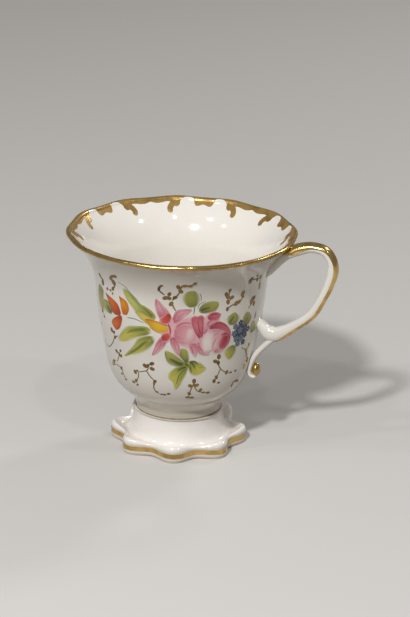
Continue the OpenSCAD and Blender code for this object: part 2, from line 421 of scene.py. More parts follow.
# Glaze: its colours, its noises as scale and detail, and the levels of noise between which each one shows
# The darker low tone stands for glaze pooling low on the bowl and for painted shade in the crease by the
# collar; the turned-line tone is painted shade of the wheel's ridges.
PORCELAIN, POOLED_AND_SHADED = rgb(237, 233, 226), rgb(206, 198, 184)
TURNED_LINE_SHADE, SPECK_TONE = rgb(150, 141, 124), rgb(150, 138, 120)
DRIFT, POOL_AND_SHADE_EDGE, TURNED = (45, 3), (160, 2), (1500, 2)
SPECK, SPECKLED, RIPPLE = (1500, 1), (120, 1), (210, 2)
DRIFT_LEVELS, DRIFT_SHARE = (0.3, 0.75), (0.0, 0.1)
POOL_AND_SHADE_EDGE_H = 1.6
TURNED_LEVELS, TURNED_SHARE = (0.45, 0.7), (0.0, 0.35)
SPECK_LEVELS, SPECKLED_LEVELS = (0.72, 0.78), (0.45, 0.7)
GLOSS_LEVELS, GLAZE_ROUGHNESS = (0.25, 0.8), (0.06, 0.11)


def glaze_group():
    """Fired glaze: a slow drift of tone; a darker tone below a soft-edged height, which stands for glaze
    pooling there and for painted shade in the crease and hollows, with darker rings of painted shade along
    the wheel's ridges;
    fine specks and a faint ripple."""
    group, take, give = new_group(
        "fired_glaze",
        {"Tone": PORCELAIN, "Pooled": POOLED_AND_SHADED, "Pool Low": 0.0, "Pool High": 0.001, "Specks": 0.3},
        {"Color": "Color", "Roughness": "Float", "Height": "Float"},
    )
    place = object_place(group)
    up = put(group, "SeparateXYZ", Vector=place).outputs["Z"]
    drift = noise(group, place, *DRIFT)
    tone = mix(group, rise(group, drift, *DRIFT_LEVELS, *DRIFT_SHARE), take["Tone"], take["Pooled"])
    # Darker low tone below a ragged height: glaze pooling there, and painted shade.
    level = less(group, up, POOL_AND_SHADE_EDGE_H / 2 * MM)
    level = times_plus(group, noise(group, place, *POOL_AND_SHADE_EDGE), POOL_AND_SHADE_EDGE_H * MM, level)
    pool_and_shade = less(group, 1.0, rise(group, level, take["Pool Low"], take["Pool High"]))
    tone = mix(group, pool_and_shade, tone, take["Pooled"])
    # Darker rings of painted shade along the wheel's ridges, only where the darker low tone shows.
    turned = noise(group, put(group, "CombineXYZ", Z=up).outputs[0], *TURNED)
    lines = times(group, pool_and_shade, rise(group, turned, *TURNED_LEVELS, *TURNED_SHARE))
    tone = mix(group, lines, tone, TURNED_LINE_SHADE)
    speck = rise(group, noise(group, place, *SPECK), *SPECK_LEVELS)
    speckled = rise(group, noise(group, place, *SPECKLED), *SPECKLED_LEVELS)
    speck = times(group, times(group, speck, speckled), take["Specks"])
    feed(group, mix(group, speck, tone, SPECK_TONE), give["Color"])
    feed(group, rise(group, drift, *GLOSS_LEVELS, *GLAZE_ROUGHNESS), give["Roughness"])
    feed(group, noise(group, place, *RIPPLE), give["Height"])
    return group


# Gold: its noises, how much brush marks add to the dull patches, and how much each one roughens it
PATCHES, BRUSHED = (220, 3), (1300, 3)
BRUSHED_IN_PATCHES, DULL_LEVELS = 0.15, (0.45, 0.75)
DULL_ROUGHENS, BRUSH_ROUGHENS = 0.8, 0.3


def gilding_group():
    """Fired gold: brushed on unevenly, burnished in parts and rubbed dull in others."""
    group, take, give = new_group(
        "rubbed_gold",
        {"Bright": rgb(214, 170, 84), "Dull": rgb(150, 108, 48), "Rubbed": 0.5, "Smooth": 0.2, "Rough": 0.4},
        {"Color": "Color", "Roughness": "Float", "Height": "Float"},
    )
    place = object_place(group)
    patches, brushed = noise(group, place, *PATCHES), noise(group, place, *BRUSHED)
    dull = rise(group, times_plus(group, brushed, BRUSHED_IN_PATCHES, patches), *DULL_LEVELS)
    dull = times(group, dull, take["Rubbed"])
    feed(group, mix(group, dull, take["Bright"], take["Dull"]), give["Color"])
    worn = times_plus(group, dull, DULL_ROUGHENS, times(group, brushed, BRUSH_ROUGHENS))
    feed(group, rise(group, worn, 0.0, 1.0, take["Smooth"], take["Rough"]), give["Roughness"])
    feed(group, brushed, give["Height"])
    return group


# Enamel: the brush's pattern, how far its hairs sway each change of tone, and the levels of that change
BRUSH_ALONG, BRUSH_ACROSS, BRUSH_STROKE = 1.6, 6.0, 7.3
HAIRS, HAIRS_ROUGHNESS, HAIRS_MIDDLE = (1.7, 3), 0.6, 0.5
END_SHARE = 3.0
EDGE_SWAY = 0.25
LIGHT_SWAY, LIGHT_LEVELS = 0.6, (0.05, 0.6)
TIP_SWAY, TIP_LEVELS = 0.4, (0.55, 1.0)
SIDE_SWAY, SIDE_LEVELS = 0.5, (0.5, 0.95)
STREAK_LEVELS, RIM_LEVELS, ROOT_LEVELS = (0.52, 0.72), (0.1, 0.42), (0.3, 0.6)


def enamel_group():
    """One brush stroke of enamel, read from the sheet's own map: deep at the root, lighter along it, streaked
    by the brush, and thin at its edge so that the glaze shows through."""
    group, take, give = new_group(
        "enamel_stroke",
        {
            "Light": PORCELAIN, "Deep": PORCELAIN, "Tip": PORCELAIN,
            "Ground": PORCELAIN, "Root Ground": PORCELAIN,
            "Side": 0.5, "Streaks": 0.4, "Rim": 0.3, "Soft": 0.35,
        },
        {"Color": "Color", "Cover": "Float"},
    )
    flat = put(group, "SeparateXYZ", Vector=put(group, "UVMap", {"uv_map": "UVMap"}).outputs[0])
    along, across = flat.outputs["X"], flat.outputs["Y"]
    stroke = put(group, "Attribute", {"attribute_name": "stroke"}).outputs["Fac"]
    brush = put(
        group, "CombineXYZ",
        X=times(group, along, BRUSH_ALONG),
        Y=times(group, across, BRUSH_ACROSS),
        Z=times(group, stroke, BRUSH_STROKE),
    )
    hairs = noise(group, brush.outputs[0], *HAIRS, Roughness=HAIRS_ROUGHNESS)
    sway = less(group, hairs, HAIRS_MIDDLE)
    middle = less(group, 1.0, sums(group, "ABSOLUTE", times_plus(group, across, 2.0, -1.0)))
    ends = times(group, sums(group, "MINIMUM", along, less(group, 1.0, along)), END_SHARE)
    edge = times_plus(group, sway, EDGE_SWAY, sums(group, "MINIMUM", middle, ends))
    cover = rise(group, edge, 0.0, take["Soft"])
    light = rise(group, times_plus(group, sway, LIGHT_SWAY, along), *LIGHT_LEVELS)
    tip = rise(group, times_plus(group, sway, TIP_SWAY, along), *TIP_LEVELS)
    tone = mix(group, tip, mix(group, light, take["Deep"], take["Light"]), take["Tip"])
    side = rise(group, times_plus(group, sway, SIDE_SWAY, across), *SIDE_LEVELS)
    streaks = rise(group, hairs, *STREAK_LEVELS)
    rim = less(group, 1.0, rise(group, edge, *RIM_LEVELS))
    for deepened, share in ((side, "Side"), (streaks, "Streaks"), (rim, "Rim")):
        tone = mix(group, times(group, deepened, take[share]), tone, take["Deep"])
    ground = mix(group, rise(group, along, *ROOT_LEVELS), take["Root Ground"], take["Ground"])
    feed(group, mix(group, cover, ground, tone), give["Color"])
    feed(group, cover, give["Cover"])
    return group


fired_glaze, rubbed_gold, enamel_stroke = glaze_group(), gilding_group(), enamel_group()


def new_material(name):
    material = bpy.data.materials.new(name)
    material.use_nodes = True
    tree = material.node_tree
    tree.nodes.clear()
    shader = put(tree, "BsdfPrincipled")
    feed(tree, shader.outputs[0], put(tree, "OutputMaterial").inputs["Surface"])
    return material, tree, shader


def use_group(tree, group, **values):
    return put(tree, "Group", {"node_tree": group}, **values).outputs


def bump(tree, height, strength, distance):
    return put(tree, "Bump", Height=height, Strength=strength, Distance=distance * MM).outputs[0]


def dress(tree, shader, color, roughness, normal, **plain):
    """Joins a finish to its shader; what is the same all over is set on the shader's own sockets."""
    for name, output in (("Base Color", color), ("Roughness", roughness), ("Normal", normal)):
        feed(tree, output, shader.inputs[name])
    for name, value in plain.items():
        shader.inputs[name.replace("_", " ")].default_value = value


# Heights where the bowl's darker low glaze gives way to the plain tone: glaze pooling at the collar, and
# painted shade in the crease above the foot.
COLLAR_POOL_AND_SHADE = (17.0, 20.0)
GLAZE_BUMP = (0.12, 0.15)
GLAZE_COAT, GLAZE_COAT_ROUGHNESS = 0.6, 0.03
GOLD_GRAIN_H = 0.05
ENAMEL_ROUGHER, ENAMEL_SPECULAR = 0.08, 0.35
ENAMEL_COAT, ENAMEL_COAT_ROUGHNESS = 0.15, 0.06
CLAY_GRAIN, CLAY_BUMP = (900, 4), (0.4, 0.05)
CLAY_LEVELS, CLAY_ROUGH_LEVELS, CLAY_ROUGHNESS = (0.35, 0.7), (0.3, 0.7), (0.55, 0.8)


def glazed(name, tone, pooled_and_shaded, pool_and_shade_low, pool_and_shade_high, specks):
    material, tree, shader = new_material(name)
    glaze = use_group(
        tree, fired_glaze, Tone=tone, Pooled=pooled_and_shaded,
        Pool_Low=pool_and_shade_low * MM, Pool_High=pool_and_shade_high * MM, Specks=specks,
    )
    dress(
        tree, shader, glaze["Color"], glaze["Roughness"], bump(tree, glaze["Height"], *GLAZE_BUMP),
        Coat_Weight=GLAZE_COAT, Coat_Roughness=GLAZE_COAT_ROUGHNESS,
    )
    return material


def gilded(name, bright, dull, rubbed, metal, grain, smooth, rough):
    material, tree, shader = new_material(name)
    gold = use_group(tree, rubbed_gold, Bright=bright, Dull=dull, Rubbed=rubbed, Smooth=smooth, Rough=rough)
    grain = bump(tree, gold["Height"], grain, GOLD_GRAIN_H)
    dress(tree, shader, gold["Color"], gold["Roughness"], grain, Metallic=metal)
    return material


def enamelled(name, light, deep, tip, side, streaks, rim, soft, ground=None, root=None):
    """Enamel on the bare glaze, or on another colour where the stroke, or its root, lies on other strokes."""
    material, tree, shader = new_material(name)
    glaze = use_group(tree, fired_glaze, Pool_Low=COLLAR_POOL_AND_SHADE[0] * MM, Pool_High=COLLAR_POOL_AND_SHADE[1] * MM)
    under = rgb(*ground) if ground else glaze["Color"]
    paint = use_group(
        tree, enamel_stroke, Light=rgb(*light), Deep=rgb(*deep), Tip=rgb(*tip), Ground=under,
        Root_Ground=rgb(*root) if root else under, Side=side, Streaks=streaks, Rim=rim, Soft=soft,
    )
    roughness = times_plus(tree, paint["Cover"], ENAMEL_ROUGHER, glaze["Roughness"])
    dress(
        tree, shader, paint["Color"], roughness, bump(tree, glaze["Height"], *GLAZE_BUMP),
        Specular_IOR_Level=ENAMEL_SPECULAR, Coat_Weight=ENAMEL_COAT, Coat_Roughness=ENAMEL_COAT_ROUGHNESS,
    )
    return material


def bare_clay(name, light, dark):
    material, tree, shader = new_material(name)
    grain = noise(tree, object_place(tree), *CLAY_GRAIN)
    color = mix(tree, rise(tree, grain, *CLAY_LEVELS), light, dark)
    roughness = rise(tree, grain, *CLAY_ROUGH_LEVELS, *CLAY_ROUGHNESS)
    dress(tree, shader, color, roughness, bump(tree, grain, *CLAY_BUMP))
    return material


body_glaze = glazed("body_glaze", PORCELAIN, POOLED_AND_SHADED, *COLLAR_POOL_AND_SHADE, specks=0.35)
# The foot's darker low glaze, below 3.6 to 5.2 mm, stands for glaze pooling in the trough inside its lips and
# for painted shade there and low on its edge.
foot_glaze = glazed(
    "foot_glaze", rgb(243, 239, 234), rgb(226, 214, 200), pool_and_shade_low=3.6, pool_and_shade_high=5.2, specks=0.3
)
fired_gold = gilded(
    "fired_gold", rgb(216, 184, 116), rgb(150, 118, 62),
    rubbed=0.6, metal=0.95, grain=0.03, smooth=0.18, rough=0.34,
)
brushed_gold = gilded(
    "brushed_gold", rgb(186, 152, 88), rgb(138, 106, 56),
    rubbed=0.8, metal=0.6, grain=0.2, smooth=0.26, rough=0.44,
)
# Sprig gold is darker than the rim's: a browner gold, darkened further as painted shade of the dark that the
# sprigs reflect.
sprig_gold = gilded(
    "sprig_gold", rgb(142, 114, 64), rgb(90, 70, 38),
    rubbed=0.8, metal=0.5, grain=0.2, smooth=0.3, rough=0.5,
)
slip_clay = bare_clay("slip_clay", light=rgb(162, 144, 114), dark=rgb(128, 112, 86))


# Bowl
def make_bowl():
    floor = smooth_line([inner_line[-1], *FLOOR], LINE_STEPS)[1:]
    outline = [*COLLAR, *wall_line, *lip_line[1:lip_top], *inner_line, *floor]
    bowl = turn_on_wheel("glazed_bowl", BOWL_SIDES, outline)
    write_points(bowl, scalloped(read_points(bowl)))
    set_down(bowl, body_glaze, "porcelain", "bowl")


def make_rim_gilding():
    """Gold over the outer half of the lip, with a raised line along its lower edge."""
    outside = [p for p in wall_line if p[1] >= LIP_GILT_OUT_H]
    line = np.vstack([*outside, *lip_line[1 : lip_top + 2]])
    share = runs_of(line) / runs_of(line)[-1]
    lift = np.interp(share, *zip(*LIP_GILT_LIFTS))
    over = line + (offset_line(line, 1) - line) * lift[:, None]
    gilt = turn_on_wheel("lip_gilding", BOWL_SIDES, np.vstack([over, offset_line(line, -GILT_SINK)[::-1]]))
    write_points(gilt, scalloped(read_points(gilt)))
    set_down(gilt, fired_gold, "gilding", "rim_gilding")


# Moustache guard: a ledge whose free edge is an arc, with a drinking slot by the wall
GUARD_H, GUARD_T, GUARD_REACH, GUARD_EDGE_R = 71.7, 2.2, 24.0, 60.0
GUARD_WALL_R, GUARD_ROOT = 32.35, 0.6
GUARD_FROM, GUARD_MIDDLE = -178.0, -90
SLOT_W, SLOT_TURN, SLOT_INSET = 6.4, 34.0, 1
ARC_STEPS, SLOT_END_STEPS, EDGE_STEPS = 26, 17, 60
GUARD_ROUND, GUARD_ROUND_STEPS, GUARD_CORNER = 0.7, 4, 60
GUARD_GILT = 1.0


def guard_outline():
    """The ledge from above: along the wall, round the slot, along the wall and back on its free edge."""
    edge_y = GUARD_EDGE_R + GUARD_REACH - GUARD_WALL_R
    slot_r, middle_r = GUARD_WALL_R - SLOT_W, GUARD_WALL_R - SLOT_W / 2
    end_turn = GUARD_MIDDLE - SLOT_TURN

    def arc(radius, first, last, steps, middle=(0.0, 0.0)):
        turn = np.radians(np.linspace(first, last, steps))
        return np.column_stack([middle[0] + radius * np.cos(turn), middle[1] + radius * np.sin(turn)])

    left = np.vstack([
        arc(GUARD_WALL_R + GUARD_ROOT, GUARD_FROM, end_turn - SLOT_INSET, ARC_STEPS),
        arc(SLOT_W / 2, end_turn, end_turn - 180, SLOT_END_STEPS, swung(middle_r, end_turn)),
        arc(slot_r, end_turn + SLOT_INSET, GUARD_MIDDLE, ARC_STEPS),
    ])
    right = left[-2::-1] * [-1, 1]
    across = np.linspace(right[-1][0], left[0][0], EDGE_STEPS)[1:-1]
    free = np.column_stack([across, edge_y - np.sqrt(GUARD_EDGE_R**2 - across**2)])
    return np.vstack([left, right, free]), edge_y


def make_guard():
    outline, edge_y = guard_outline()
    guard = closed_line("glazed_guard", np.column_stack([outline, np.full(len(outline), GUARD_H - GUARD_T)]))

    def raise_ledge():
        bpy.ops.mesh.edge_face_add()
        bpy.ops.mesh.extrude_region_move(TRANSFORM_OT_translate={"value": (0, 0, GUARD_T * MM)})

    at_bench(guard, raise_ledge)
    use_modifier(
        guard, "BEVEL", width=GUARD_ROUND * MM, segments=GUARD_ROUND_STEPS, limit_method="ANGLE",
        angle_limit=math.radians(GUARD_CORNER),
    )
    set_down(guard, body_glaze, "porcelain", "moustache_guard")
    guard.data.materials.append(brushed_gold)
    # Only the rounding's own faces, which have four corners, are gilded
    for face in guard.data.polygons:
        x, y, z = np.array(face.center) / MM
        off_edge = math.hypot(x, y - edge_y) - GUARD_EDGE_R
        rounded = z > GUARD_H - GUARD_ROUND and len(face.vertices) == 4
        face.material_index = int(off_edge < GUARD_GILT and rounded)


# Foot
def lobed(turn, ring):
    """Points on rings that go in and out with the foot's lobes."""
    out = (1 + np.cos(LOBES * (turn - math.radians(LOBE_TURN)))) / 2
    radius = ring[:, 2] + (ring[:, 0] - ring[:, 2]) * out
    height = ring[:, 3] + (ring[:, 1] - ring[:, 3]) * out
    return np.column_stack([radius * np.cos(turn), radius * np.sin(turn), height])


def raise_lips(points):
    """The lips of some lobes turned up further, as hand finishing left them."""
    turn = np.degrees(np.arctan2(points[:, 1], points[:, 0]))
    radius = np.hypot(points[:, 0], points[:, 1]) / MM
    up = np.clip((points[:, 2] / MM - LOBE_LIP_H) / (LOBE_LIP_TOP - LOBE_LIP_H), 0, 1)
    up *= np.clip((radius - LOBE_LIP_R) / LOBE_LIP_DEPTH, 0, 1)
    for lobe, by in HIGH_LIPS:
        apart = (turn - lobe + 180) % 360 - 180
        points[:, 2] += by * MM * up * np.exp(-((apart / LOBE_LIP_SPREAD) ** 2))
    return points


def make_foot():
    rings = np.maximum(smooth_line(FOOT_RINGS, FOOT_STEPS), 0)
    foot = turn_on_wheel("glazed_foot", FOOT_SIDES, rings[:, :2])
    points = read_points(foot)
    turn = np.arctan2(points[:, 1], points[:, 0])
    found = np.column_stack([np.hypot(points[:, 0], points[:, 1]), points[:, 2]])
    ring = np.argmin(((found[:, None] - rings[None, :, :2] * MM) ** 2).sum(-1), axis=1)
    write_points(foot, raise_lips(lobed(turn, rings[ring] * MM)))
    set_down(foot, foot_glaze, "foot_porcelain", "foot")


def make_foot_gilding():
    low, high = FOOT_GILT_LOW, FOOT_GILT_HIGH
    rows = np.array([r for r in FOOT_RINGS if low - FOOT_GILT_REACH <= r[1] <= high + FOOT_GILT_REACH])

    def place(u, v):
        height = low + (high - low) * v
        lobe_r = np.interp(height, rows[:, 1], rows[:, 0]) + GILT_LIFT
        dip_r = np.interp(height, rows[:, 1], rows[:, 2]) + GILT_LIFT
        return lobed(2 * math.pi * u, np.column_stack([lobe_r, height, dip_r, height]) * MM)

    gilt = shape_sheet("foot_gold_line", FOOT_SIDES * 2, FOOT_GILT_ROWS, place)
    at_bench(gilt, merge_doubles)
    give_wall(gilt, GILT_LIFT + GILT_SINK)
    set_down(gilt, fired_gold, "gilding", "foot_gilding")


def make_slip_joint():
    joint = turn_on_wheel("slip_seam", BOWL_SIDES, SLIP)
    points = read_points(joint)
    turn = np.arctan2(points[:, 1], points[:, 0])
    squeeze = np.ones_like(turn)
    for share, count, shift in SLIP_WAVES:
        squeeze += share * np.sin(count * turn + shift)
    write_points(joint, points * np.column_stack([squeeze, squeeze, np.ones_like(squeeze)]))
    set_down(joint, slip_clay, "slip", "slip_joint")


# Handle
def band_place(stations, grow=0.0):
    """Places on a band swept through stations: how far along it, and the turn from its outer side."""
    line = smooth_line(stations, STATION_STEPS)
    way = ways_of(line[:, :2])
    steps = np.linspace(0, 1, len(line))

    def full(share):
        return np.sign(share) * np.abs(share) ** SECTION_FULLNESS

    def place(u, turn):
        out, up, thick, wide = (np.interp(u, steps, column) for column in line.T)
        way_out, way_up = (np.interp(u, steps, column) for column in way.T)
        off = full(np.cos(turn)) * (thick / 2 + grow)
        side = full(np.sin(turn)) * (wide / 2 + grow)
        return np.column_stack([out - way_up * off, side, up + way_out * off]) * MM

    return place, len(line)


def make_band(name, stations, *nodes):
    place, count = band_place(stations)
    band = shape_sheet(name, count - 1, SECTION_SIDES, lambda u, v: place(u, 2 * math.pi * v))
    at_bench(band, merge_doubles, fill_ends)
    smooth_over(band)
    set_down(band, body_glaze, "porcelain", *nodes)


def make_handle_gilding():
    place, count = band_place(LOOP, GILT_LIFT)
    spread = np.array(GILT_SPREAD, float)

    def strip(u, v):
        half = np.radians(np.interp(u, spread[:, 0], spread[:, 1]))
        return place(GILT_FROM + (GILT_TO - GILT_FROM) * u, (2 * v - 1) * half)

    gilt = shape_sheet("handle_gold", count * 2, GILT_ROWS, strip)
    give_wall(gilt, GILT_LIFT + GILT_SINK)
    at_bench(gilt, merge_doubles)
    set_down(gilt, fired_gold, "gilding", "handle_gilding")


def make_bead():
    """Upright drop of gold that sits in the strut's curl, a little fuller below."""
    bead = start(
        "gilt_bead", bpy.ops.mesh.primitive_uv_sphere_add,
        segments=BEAD_SIDES, ring_count=BEAD_RINGS, radius=0.5,
    )
    points = read_points(bead)
    fuller = 1 - BEAD_TAPER * points[:, 2:]
    drop = points * np.hstack([fuller, fuller, np.ones_like(fuller)]) * BEAD_SIZE
    write_points(bead, (drop + [BEAD_OUT, 0, BEAD_UP]) * MM)
    smooth_over(bead)
    set_down(bead, fired_gold, "gilding", "strut_bead")


# Painting, drawn flat and then laid on the bowl
ENAMEL_STEP = 0.012
ENAMEL_DOME = 0.03
ENAMEL_THICK = 0.15
DOME_ACROSS, DOME_ALONG = 4, 6
STROKE_STEPS = 6
STROKE_NUMBER = 0.37
PAINT_TURN, PAINT_H = -72.0, 56.0
BACK_TURN, BACK_SIZE = 108.0, 0.9
PETAL_GRID = (14, 8)
STROKE_GRID = (14, 5)
DAB_GRID = (6, 4)
DAB_ENDS = (0.5, 0.5)


def flat_place(turn, height):
    """Where a place on the bowl lies on the flat drawing, in millimetres from the drawing's middle."""
    run = run_at(height)
    return math.radians(turn - PAINT_TURN) * np.interp(run, wall_run, wall_line[:, 0]), run - run_at(PAINT_H)


def flat_places(places):
    return [flat_place(*place) for place in places]


def walk_along(points):
    """Walk on a smooth curve through these points: takes shares of its length, gives places and ways."""
    line = smooth_line(points, STROKE_STEPS)
    way, runs = ways_of(line), runs_of(line)
    return lambda u: [np.interp(u, runs / runs[-1], column) for column in (*line.T, *way.T)]


def flat_dab(place, layer, grid, material):
    """Flat dab of paint, slightly domed, placed by how far along and across it is. Its number sets the marks
    of the brush in it."""

    def domed(u, v):
        dome = (1 - (2 * v - 1) ** DOME_ACROSS) * (1 - (2 * u - 1) ** DOME_ALONG)
        return np.column_stack([*place(u, v), (layer + 1) * ENAMEL_STEP + dome * ENAMEL_DOME]) * MM

    sheet = shape_sheet("dab", *grid, domed)
    number = np.full(len(sheet.data.vertices), len(bpy.data.meshes) * STROKE_NUMBER)
    sheet.data.attributes.new("stroke", "FLOAT", "POINT").data.foreach_set("value", number)
    sheet.data.materials.append(material)
    return sheet


def flat_stroke(spine, width, ends, layer, grid, material):
    """Stroke along a spine, swelling from its root and drawing in to its tip."""
    walk = walk_along(spine)
    root, tip = ends
    widest = (root / (root + tip)) ** root * (tip / (root + tip)) ** tip

    def place(u, v):
        x, y, way_x, way_y = walk(u)
        off = (2 * v - 1) * width / 2 * u**root * (1 - u) ** tip / widest
        return x - way_y * off, y + way_x * off

    return flat_dab(place, layer, grid, material)


def flat_petal(plain_edge, deep_edge, layer, material):
    """Petal or leaf between two edges that run from its root to its tip."""
    plain, deep = walk_along(plain_edge), walk_along(deep_edge)

    def place(u, v):
        return [a + (b - a) * v for a, b in zip(plain(u)[:2], deep(u)[:2])]

    return flat_dab(place, layer, PETAL_GRID, material)


def flat_spot(middle, length, width, lean, layer, material):
    """Small dab laid at a lean."""
    middle, reach = np.array(middle), swung(length / 2, lean)
    return flat_stroke([middle - reach, middle, middle + reach], width, DAB_ENDS, layer, DAB_GRID, material)


def lay_on(piece, face, turn, run, size=1.0, mirror=1):
    """Lays a flat drawing on a face of the bowl, with its middle at a turn and so far along the face."""
    x, y, relief = read_points(piece).T / MM
    along = run + size * y
    radius = np.interp(along, face[1], face[0][:, 0])
    write_points(piece, on_face(face, turn + np.degrees(mirror * size * x / radius), along, relief))
    return piece


def fire_on(piece, slot):
    """Sheets laid on the glaze made into thin closed bodies that reach just under it, and set down."""
    at_bench(piece, merge_doubles)
    give_wall(piece, ENAMEL_THICK)
    set_down(piece, None, slot, angle=PAINT_SHADE_ANGLE)


# Enamels, as enamelled takes them: colours under a stroke are given where it isn't on the bare glaze
LILY, ROSE, WASH, LEAF = (226, 174, 180), (224, 166, 173), (228, 176, 183), (166, 164, 80)
ENAMELS = {
    "lily": ("lily_pink", LILY, (188, 98, 116), (206, 136, 150), 0.5, 0.6, 0.4, 0.32, None, WASH),
    "heart": ("heart_red", (204, 78, 64), (154, 46, 38), (212, 122, 120), 0.3, 0.3, 0.2, 0.6, LILY),
    "wash": ("petal_wash", WASH, (216, 152, 162), (230, 190, 194), 0.3, 0.4, 0.0, 0.5),
    "rose": ("rose_pink", ROSE, (200, 116, 132), (234, 196, 200),
             0.4, 0.4, 0.4, 0.3, (232, 194, 199), WASH),
    "bloom": ("rose_bloom", (228, 174, 180), (200, 116, 132), (226, 176, 184), 0.4, 0.4, 0.0, 0.6),
    "fold": ("rose_fold", (198, 114, 130), (182, 90, 108), (208, 136, 148), 0.2, 0.3, 0.0, 0.9, ROSE),
    "petal": ("rose_petal", (236, 202, 205), (222, 168, 174), (238, 210, 211), 0.3, 0.3, 0.0, 0.9, ROSE),
    "blush": ("rose_blush", (212, 124, 136), (170, 62, 82), (190, 86, 102), 0.5, 0.9, 0.2, 0.35, ROSE),
    "crimson": ("rose_crimson", (188, 64, 74), (148, 34, 50), (192, 88, 100),
                0.4, 0.5, 0.2, 0.8, (208, 116, 133)),
    "carmine": ("rose_carmine", (202, 102, 116), (162, 58, 76), (206, 118, 130), 0.5, 0.6, 0.2, 0.4, ROSE),
    "pearl": ("rose_pearl", (245, 233, 228), (236, 212, 213), (242, 229, 226), 0.2, 0.2, 0.0, 0.7, ROSE),
    "leaf": ("leaf_green", LEAF, (88, 97, 40), (186, 182, 98), 0.7, 0.6, 0.12, 0.45),
    "olive": ("olive_green", (166, 165, 78), (112, 119, 46), (176, 173, 88), 0.5, 0.5, 0.12, 0.5),
    "spring": ("spring_green", (200, 194, 85), (118, 124, 44), (206, 198, 102), 0.5, 0.5, 0.12, 0.45),
    "trumpet": ("trumpet_green", (196, 196, 108), (118, 132, 56), (176, 180, 98), 0.9, 0.4, 0.1, 0.4),
    "straw": ("straw_yellow", (220, 196, 88), (206, 176, 70), (220, 190, 74),
              0.1, 0.3, 0.0, 0.9, (180, 180, 96)),
    "shade": ("shade_green", (92, 104, 44), (66, 80, 34), (112, 120, 54), 0.3, 0.4, 0.0, 0.8, LEAF),
    "moss": ("moss_green", (124, 130, 56), (100, 110, 46), (140, 142, 68),
             0.3, 0.4, 0.0, 0.9, (176, 176, 88)),
    "stem": ("stem_green", (104, 110, 70), (80, 88, 56), (120, 124, 84), 0.2, 0.2, 0.0, 0.5),
    "yolk": ("yolk_yellow", (230, 190, 42), (200, 140, 30), (226, 174, 38), 0.5, 0.3, 0.4, 0.25),
    "rust": ("rust_orange", (214, 106, 8), (170, 56, 6), (188, 70, 8), 0.6, 0.5, 0.4, 0.16),
    "amber": ("amber_orange", (222, 150, 22), (196, 96, 18), (190, 84, 16), 0.5, 0.5, 0.4, 0.16),
    "sky": ("sky_blue", (118, 140, 162), (64, 86, 116), (132, 152, 172), 0.5, 0.3, 0.5, 0.3, (50, 68, 98)),
    "dusk": ("dusk_blue", (58, 76, 108), (30, 44, 72), (70, 88, 118), 0.5, 0.3, 0.5, 0.3, (50, 68, 98)),
    "night": ("night_blue", (42, 56, 80), (30, 41, 64), (52, 67, 92), 0.3, 0.6, 0.0, 0.4),
    "violet": ("violet_bud", (112, 106, 146), (76, 72, 112), (128, 122, 158), 0.4, 0.3, 0.2, 0.5),
}
PALETTE = {colour: enamelled(*values) for colour, values in ENAMELS.items()}

